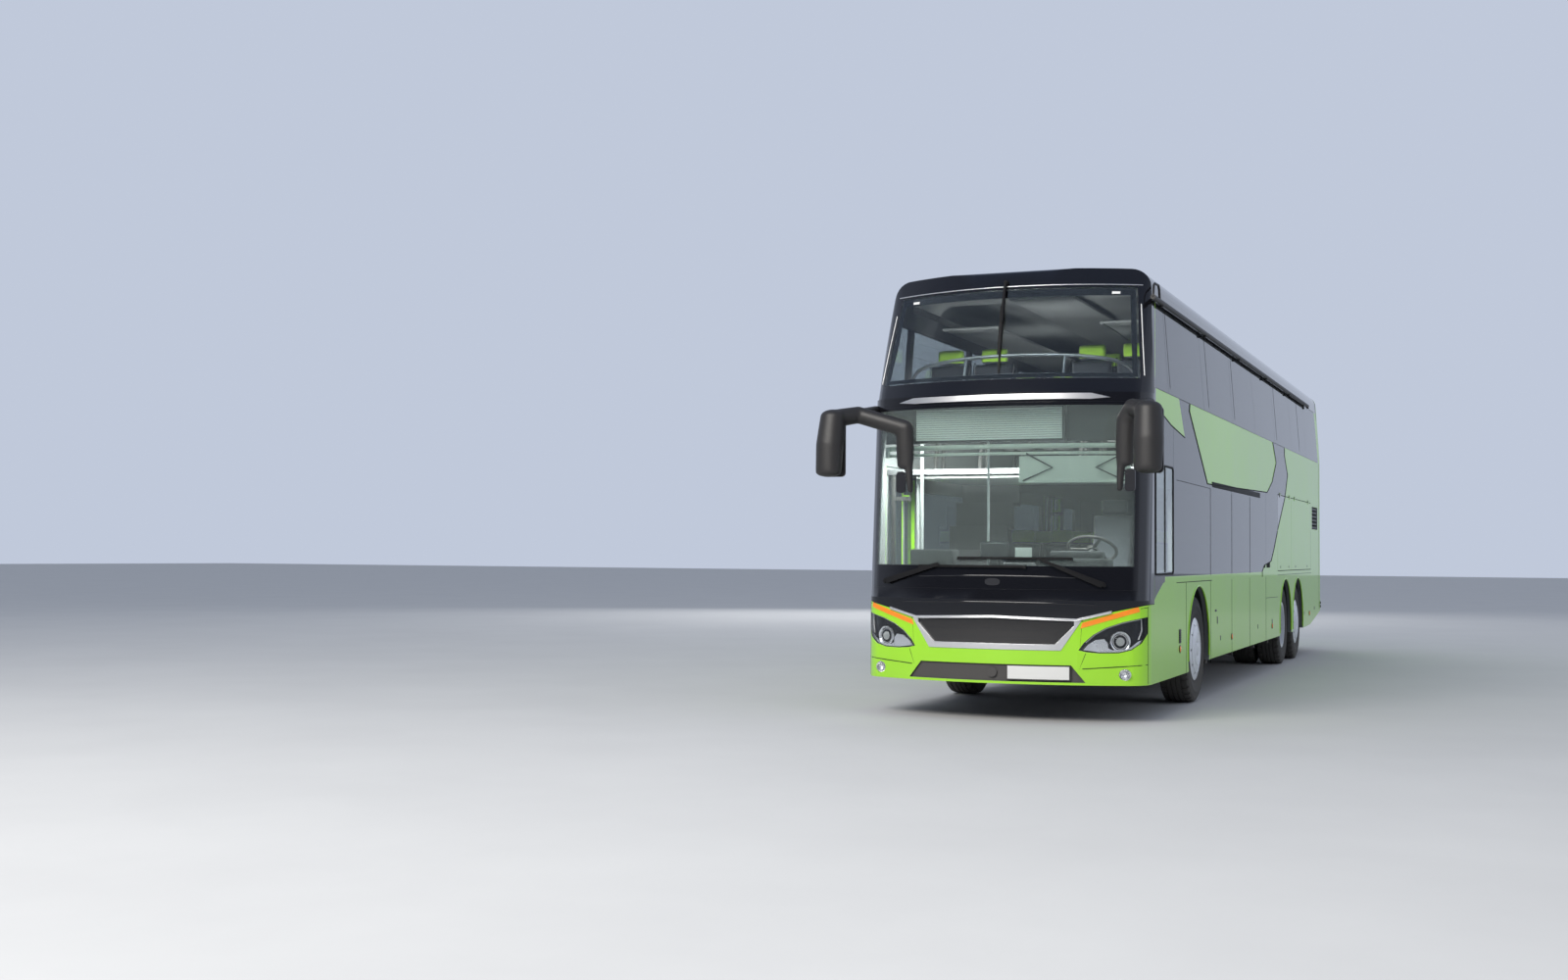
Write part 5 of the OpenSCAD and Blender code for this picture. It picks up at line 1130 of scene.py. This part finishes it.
addPiece("waistSlot", sidePatch(slotOutline, -0.003, 0.003, bevel=0.0015), "rubber", smooth=30)

# markers, vent, latches and small lids
lenses, rims = [], []
for s in both:
    for a, b in ((1.82 if s > 0 else 2.02, 0.571), (4.90, 0.56), (8.18, 0.56), (12.3, 0.60)):
        lenses.append(sideTurn([(0.0, 0.012), (0.024, 0.010), (0.030, 0.006), (0.032, -0.002)], a, b, s, 24))
        rims.append(sideTurn([(0.031, 0.006), (0.037, 0.005), (0.039, -0.002)], a, b, s, 24))
addPiece("sideMarkers", lenses, "amber", smooth=50)
vents = sidePatch(boxed(1.82, 0.69, 0.10, 0.13), -0.002, 0.003, leftOnly, 0.0015)
for i in range(6):
    vents += sidePatch(boxed(1.82, 0.64 + i * 0.02, 0.085, 0.009), 0.003, 0.007, leftOnly, 0.001)
for a, b, width, height in ((3.845, 0.873, 0.10, 0.022), (3.941, 0.771, 0.045, 0.075), (4.144, 0.577, 0.035, 0.05),
                            (8.186, 0.60, 0.05, 0.09), (6.914, 0.595, 0.04, 0.05), (11.655, 0.62, 0.05, 0.05),
                            (12.968, 0.66, 0.05, 0.05)):
    vents += sidePatch(boxed(a, b, width, height), -0.002, 0.002, bevel=0.001)
addPiece("sideLatches", vents + rims, "moulding", smooth=30)
buttonProfile = [(0.0, 0.016), (0.018, 0.014), (0.024, 0.004), (0.024, -0.01)]
addPiece("tailButtons", [sideTurn(buttonProfile, 13.78, b, s, 20, -0.004) for s in both for b in (0.665, 0.72)],
         "moulding", smooth=50)

# rolled lips round the wheel arches and black liners behind them
archShape = {"radius": 0.600, "z": 0.545, "lowZ": 0.41}


def archPath(x, radius, first, sweep, steps):
    turns = [math.radians(first + sweep * i / steps) for i in range(steps + 1)]
    return [(x + math.cos(a) * radius, archShape["z"] + math.sin(a) * radius) for a in turns]


lips, liners = [], []
for x in axleX.values():
    for s in both:
        edge = [point for point in archPath(x, archShape["radius"], -16, 212, 40) if point[1] > archShape["lowZ"]]
        lips.append(tubeAlong([(px, s * (halfWidth - 0.002), pz) for px, pz in edge], 0.010))
        shell = bmesh.new()
        arc = [shell.verts.new((px, s * (halfWidth - 0.020), pz)) for px, pz in
               archPath(x, archShape["radius"] + 0.012, -8, 196, 32)]
        swept = bmesh.ops.extrude_edge_only(shell, edges=[shell.edges.new(pair) for pair in zip(arc, arc[1:])])["geom"]
        bmesh.ops.translate(shell, vec=(0, -s * 0.085, 0),
                            verts=[v for v in swept if isinstance(v, bmesh.types.BMVert)])
        bmesh.ops.solidify(shell, geom=shell.faces[:], thickness=0.004)
        liners.append(shell)
addPiece("archLips", lips, "lime", smooth=60)
addPiece("archLiners", liners, "moulding")


def cutCorners(x0, x1, low, high, cut):
    # a rectangle with cut corners
    return [(x0 + cut, low), (x1 - cut, low), (x1, low + cut), (x1, high - cut), (x1 - cut, high), (x0 + cut, high),
            (x0, high - cut), (x0, low + cut)]


# doors: rubber round the leaf and the pane, and a sunk handle
doorSpan = {"front": (0.70, 1.60), "mid": (6.40, 7.30)}
for label, (start, end) in doorSpan.items():
    seals = []
    for inset, low, high, radius in ((0.006, 0.406, 2.239, 0.006), (0.092, 1.002, 2.153, 0.008)):
        path = cutCorners(start + inset, end - inset, low, high, 0.03)
        seals.append(tubeAlong([(station(a), -halfWidth, b) for a, b in path], radius, closed=True, sides=2))
    addPiece(f"{label}DoorSeals", seals, "rubber", f"{label}_door", 60)
    handle = sideTurn([(0.0, 0.004), (0.030, 0.004), (0.036, 0.001), (0.036, -0.01)], start + 0.80, 0.93, -1, 32)
    grip = tubeAlong([(station(start + a), -halfWidth - 0.007, 0.93) for a in (0.775, 0.825)], 0.006)
    addPiece(f"{label}DoorHandle", (handle, grip), "moulding", f"{label}_door", 50)

for name in flaps:  # latches that ride on them
    low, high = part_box(name)
    locks = [sideTurn([(0.0, 0.003), (0.013, 0.003), (0.017, 0.001), (0.017, -0.006)],
                      noseX - low.x - (high.x - low.x) * share, low.z + 0.045, 1 if "left" in name else -1, 20)
             for share in (0.2, 0.8)]
    addPiece(pieceName(name).replace("Shape", "Locks"), locks, "moulding", nodeBody[name], 50)
print("stage: sides")

# tail

tailShape = {"face": station(13.935), "lampY": 1.05, "lampWidth": 0.108, "ribPitch": 0.016}
tailX, lampY, lampWidth, ribPitch = tailShape.values()
tailParts = {}
for paint, low, high in (("red", 0.905, 1.165), ("amber", 1.17, 1.30), ("white", 1.305, 1.405), ("red", 1.41, 1.595)):
    for s in both:
        parts = tailParts.setdefault(paint, [])
        parts.append(block((tailX + 0.016, s * lampY, (low + high) / 2), (0.030, lampWidth, high - low), 0.006))
        for i in range(int((high - low) / ribPitch)):
            z = low + 0.010 + i * ribPitch
            parts.append(tubeAlong([(tailX + 0.0015, s * lampY + y, z) for y in (-0.045, 0.045)], 0.0032, sides=1))
for paint, parts in tailParts.items():
    addPiece("tailLamps" + paint.capitalize(), parts, paint)
surround = rect(-0.062, 0.062, 0.893, 1.607)
addPiece("tailLampSurrounds", [tubeAlong([(tailX + 0.002, s * lampY + y, z) for y, z in surround], 0.007, closed=True,
                                         sides=2) for s in both], "moulding", smooth=60)
addPiece("tailReflectors", [block((tailX - 0.002, s * 0.98, 0.74), (0.010, 0.10, 0.045), 0.004) for s in both], "red")
addPiece("highLamps", [block((tailX - 0.003, s * 1.00, 3.74), (0.012, 0.07, 0.028), 0.004) for s in both]
         + [block((tailX - 0.003, 0, 3.74), (0.012, 0.36, 0.026), 0.005)], "red")

# on the lid: blank plate, lamp over it, hand grips, and slanted slats behind the louvres
lidBody = nodeBody["engine_lid"]
addPiece("tailPlateFrame", block((tailX - 0.004, 0, 0.845), (0.010, 0.56, 0.14), 0.004), "moulding", lidBody)
addPiece("tailPlate", block((tailX - 0.010, 0, 0.845), (0.004, 0.52, 0.11), 0.0015), "white", lidBody)
lidTrim = [block((tailX - 0.012, 0, 0.945), (0.026, 0.62, 0.026), 0.009, 3)]
grip = [(0.30, 0.001), (0.28, 0.028), (0.16, 0.028), (0.14, 0.001)]
lidTrim += [tubeAlong([(tailX - out, s * y, 0.715) for y, out in grip], 0.007) for s in both]
addPiece("lidTrim", lidTrim, "moulding", lidBody, 50)
slatTilt = Matrix.Rotation(math.radians(38), 4, "Y")
slats = copies(block((0, 0, 0), (0.034, 1.40, 0.004), 0.0015),
               [Matrix.Translation((tailX + 0.026, 0, 1.117 + i * 0.062)) @ slatTilt for i in range(8)])
addPiece("lidLouvres", (slats, block((tailX + 0.054, 0, 1.335), (0.006, 1.46, 0.50), 0.002)), "moulding", lidBody)

# seams of the rear wall, window surround, bumper strip and exhaust
addPiece("tailSeams", [tubeAlong([(tailX - 0.0005, y, z) for y in (-1.12, 1.12)], 0.003, sides=1)
                       for z in (2.25, 2.88)], "shadow", smooth=60)
windowRun = cutCorners(-0.955, 0.955, 2.945, 3.605, 0.025)
addPiece("rearWindowSeal", tubeAlong([(tailX + 0.006, y, z) for y, z in windowRun], 0.010, closed=True), "rubber",
         smooth=60)
addPiece("tailBumperStrip", block((tailX - 0.006, 0, 0.645), (0.030, 1.80, 0.030), 0.010, 3), "moulding")
pipeProfile = [(0.042, -0.09), (0.046, -0.088), (0.048, 0.0), (0.044, 0.002), (0.042, -0.003)]
addPiece("exhaustEnd", turned(pipeProfile, (tailX + 0.14, 0.78, 0.47), (-1, 0, 0), 32, True), "steel")

# roof: hatches, ribs, unit and aerial

topShape = {"hatches": (3.4, 10.2), "unit": 6.8, "aerial": 1.29}
hatchStations, unitStation, aerialStation = topShape.values()
addPiece("roofHatches", [block((station(a), 0, roofZ + 0.022), (0.86, 0.66, 0.050), 0.020, 3) for a in hatchStations],
         "ceiling")
addPiece("roofHatchSeals", [block((station(a), 0, roofZ + 0.001), (0.94, 0.74, 0.020), 0.006) for a in hatchStations],
         "rubber")
ribs = [block((station(unitStation), s * 0.55, roofZ - 0.006), (5.6, 0.030, 0.018), 0.006) for s in both]
ribs += [block((station(unitStation + a), 0, roofZ - 0.008), (0.020, 2.0, 0.014), 0.004) for a in (-4.8, -2, 2, 4.8)]
addPiece("roofRibs", ribs, "lime")
addPiece("roofUnit", block((station(unitStation), 0, roofZ + 0.030), (2.30, 1.46, 0.075), 0.034, 4), "gloss")
addPiece("roofUnitGrilles", [block((station(unitStation + dx), dy, roofZ + 0.066), (0.70, 0.44, 0.010), 0.004)
                             for dx in (-0.62, 0.62) for dy in (-0.34, 0.34)], "moulding")
foot = turned([(0.030, -0.01), (0.028, 0.012), (0.012, 0.022), (0.0, 0.024)],
              (station(aerialStation), 0, roofZ - 0.012), (0, 0, 1), 24)
rod = tubeAlong([(station(aerialStation), 0, roofZ), (station(aerialStation + 0.035), 0, roofZ + 0.108)], 0.007)
addPiece("aerial", (foot, rod), "moulding", smooth=50)

# branch guards with their clamps and knobs; the loop is on the left only
guardShape = {"rail": 0.023, "loop": 0.011, "start": {1: 0.70, -1: 1.00}, "end": 12.40, "z": 3.71, "clamps": 6,
              "pitch": 2.264}
railZ, railY = guardShape["z"], halfWidth - 0.025
guardRails = [tubeAlong([(station(a), s * railY, railZ) for a in (guardShape["start"][s], guardShape["end"])],
                        guardShape["rail"], sides=6) for s in both]
guardRails.append(tubeAlong([(station(a), railY, railZ + up) for a, up in (
    (1.005, 0), (0.975, 0.10), (0.940, 0.135), (0.78, 0.128), (0.735, 0.105), (0.705, 0))], guardShape["loop"]))
addPiece("guardRails", guardRails, "moulding", smooth=50, replaced=("branch_guards",))
clampPlaces = [(s, 1.05 + i * guardShape["pitch"]) for s in both for i in range(guardShape["clamps"])]
addPiece("guardClamps", [block((station(a), s * (railY - 0.006), railZ), (0.060, 0.036, 0.040), 0.008)
                         for s, a in clampPlaces], "moulding", smooth=50)
addPiece("guardKnobs", [turned([(0.0, 0.018), (0.014, 0.016), (0.018, 0.008), (0.018, -0.004)],
                               (station(a + 0.055), s * (railY - 0.002), railZ - 0.022), (0, 0, -1), 20)
                        for s, a in clampPlaces], "moulding", smooth=50)

# dome, lamps in it, and edges of the upper screen

domeZ = {"middle": 3.842, "outer": 3.835}
domePath = [(y, domeZ["middle"] - (domeZ["middle"] - domeZ["outer"]) * (abs(y) / 1.14) ** 2)
            for y in [i * 0.06 for i in range(-19, 20)]]
addPiece("domeSeam", frontTube(domePath, 0.0005, 0.0045), "chrome", smooth=60)
addPiece("topLamps", [frontPanel(rect(y - 0.034, y + 0.034, 3.749, 3.772), 0.0, -0.004, mirror=False, bevel=0.001)
                      for y in (0.93, -0.93)], "white")
edgePath = [(1.14 + (3.656 - z) * 0.105, z) for z in [3.0 + i * 0.082 for i in range(9)]]
addPiece("screenEdgeLines", frontPair(edgePath, 0.001, 0.005), "white", smooth=60)

# printed black borders behind the screens
lowerBorder = [rect(-1.19, 1.19, 1.146, 1.345), rect(-1.19, 1.19, 2.735, 2.762)]
lowerBorder += [rect(s * 1.150, s * 1.19, 1.345, 2.735) for s in both]
upperBorder = [[(s * 1.155, 3.0), (s * 1.115, 3.0), (s * 1.04, 3.78), (s * 1.085, 3.78)] for s in both]
upperBorder += [[(-1.16, 2.985), (1.16, 2.985), (1.155, 3.02), (-1.155, 3.02)],
                [(-1.09, 3.735), (1.09, 3.735), (1.08, 3.80), (-1.08, 3.80)]]
for name, outlines in (("screenBorders", lowerBorder), ("upperScreenBorders", upperBorder)):
    addPiece(name, [frontPanel(points, 0.0095, 0.0115, mirror=False) for points in outlines], "gloss", smooth=30)
print("stage: tail and roof")

# camera, light and floor

cameraShape = {"place": (21.0275, 4.212, 1.434), "yaw": 0.4090, "pitch": 0.0372, "roll": 0.0072, "lens": 39.145}
yaw, pitch, roll = cameraShape["yaw"], cameraShape["pitch"], cameraShape["roll"]
ahead = Vector((-math.cos(yaw) * math.cos(pitch), -math.sin(yaw) * math.cos(pitch), math.sin(pitch)))
aside = ahead.cross(Vector((0, 0, 1))).normalized()
above = aside.cross(ahead)
rightWay = aside * math.cos(roll) + above * math.sin(roll)
upWay = above * math.cos(roll) - aside * math.sin(roll)
cameraData = bpy.data.cameras.new("photoCamera")
cameraData.lens, cameraData.sensor_width = cameraShape["lens"], 36
camera = bpy.data.objects.new("photoCamera", cameraData)
camera.matrix_world = Matrix.Translation(cameraShape["place"]) @ Matrix((rightWay, upWay, -ahead)).transposed().to_4x4()
bpy.context.scene.collection.objects.link(camera)
bpy.context.scene.camera = camera


def areaLight(name, place, target, size, power, colour=(1, 1, 1), mirrored=True):
    data = bpy.data.lights.new(name, "AREA")
    data.shape, data.size, data.size_y, data.energy, data.color = "RECTANGLE", size[0], size[1], power, colour
    light = bpy.data.objects.new(name, data)
    towards = (Vector(target) - Vector(place)).to_track_quat("-Z", "Y").to_matrix().to_4x4()
    light.matrix_world = Matrix.Translation(place) @ towards
    light.visible_glossy = mirrored
    bpy.context.scene.collection.objects.link(light)
    return light


# a wide soft sun overhead lights the floor evenly to the horizon, and no mirror shows it
overhead = bpy.data.objects.new("overheadSun", bpy.data.lights.new("overheadSun", "SUN"))
overhead.data.energy, overhead.data.angle, overhead.data.color = 0.95, 1.9, (0.93, 0.96, 1.0)
overhead.visible_glossy = False
bpy.context.scene.collection.objects.link(overhead)
areaLight("frontPanel", (24, -4, 13.5), (6, 0, 1.8), (14, 8), 4800, (1.0, 0.97, 0.92))
areaLight("sidePanel", (2, 20, 8), (0, 0, 1.8), (26, 9), 520, (0.95, 0.97, 1.0), False)
areaLight("backPanel", (-20, -9, 8), (-4, 0, 1.8), (14, 8), 1300, (1, 1, 1), False)

# soft lamps inside both decks, which no mirror or camera shows
for name, place, target, size, power in (("lowerCabin", (6.28, 0, 2.30), (4.9, 0, 1.3), (2.0, 0.2), 200),
                                         ("upperCabin", (2.5, 0, 3.82), (2.501, 0, 0), (6.0, 0.8), 13)):
    lamp = areaLight(name, place, target, size, power, (1.0, 0.98, 0.94), False)
    lamp.visible_camera = lamp.visible_transmission = False


def rangeNode(tree, value, low, high, kind="LINEAR"):
    node = tree.nodes.new("ShaderNodeMapRange")
    node.interpolation_type = kind
    for label, given in (("Value", value), ("From Min", low), ("From Max", high)):
        feed(tree, node.inputs[label], given)
    return node.outputs["Result"]


# pale all round, darker on the side that the coach faces, so that its black front stays black
skyColours = {"sides": (0.66, 0.73, 0.88, 1), "front": (0.07, 0.085, 0.12, 1), "top": (0.16, 0.22, 0.36, 1)}
world = bpy.data.worlds.new("studio")
world.use_nodes = True
sky = world.node_tree
background = sky.nodes["Background"].inputs
direction = splitNode(sky, coordNode(sky, "Generated"))
unseen = mathNode(sky, "SUBTRACT", 1.0, sky.nodes.new("ShaderNodeLightPath").outputs["Is Camera Ray"])
frontShare = mathNode(sky, "MULTIPLY", rangeNode(sky, direction[0], -0.1, 0.75, "SMOOTHSTEP"), unseen)
topShare = mathNode(sky, "MULTIPLY", rangeNode(sky, direction[2], 0.15, 0.9), unseen)
level = mixNode(sky, frontShare, skyColours["sides"], skyColours["front"])
feed(sky, background["Color"], mixNode(sky, topShare, level, skyColours["top"]))
background["Strength"].default_value = 0.8
bpy.context.scene.world = world
bpy.context.scene.view_settings.view_transform = "Standard"

floorMaterial, floorTree, floorShader = newMaterial("paleFloor", Roughness=0.8)
clouding = noiseNode(floorTree, coordNode(floorTree, "Object"), 0.6, 6.0, 0.6)
feed(floorTree, floorShader["Base Color"], mixNode(floorTree, clouding, (0.46, 0.46, 0.455, 1), (0.53, 0.53, 0.52, 1)))
floorBm = bmesh.new()
bmesh.ops.create_grid(floorBm, x_segments=4, y_segments=4, size=120)
floorMesh = bpy.data.meshes.new("studioFloor")
floorBm.to_mesh(floorMesh)
floorBm.free()
floorMesh.materials.append(floorMaterial)
studioFloor = bpy.data.objects.new("studioFloor", floorMesh)
bpy.context.scene.collection.objects.link(studioFloor)
print("stage: camera and light")
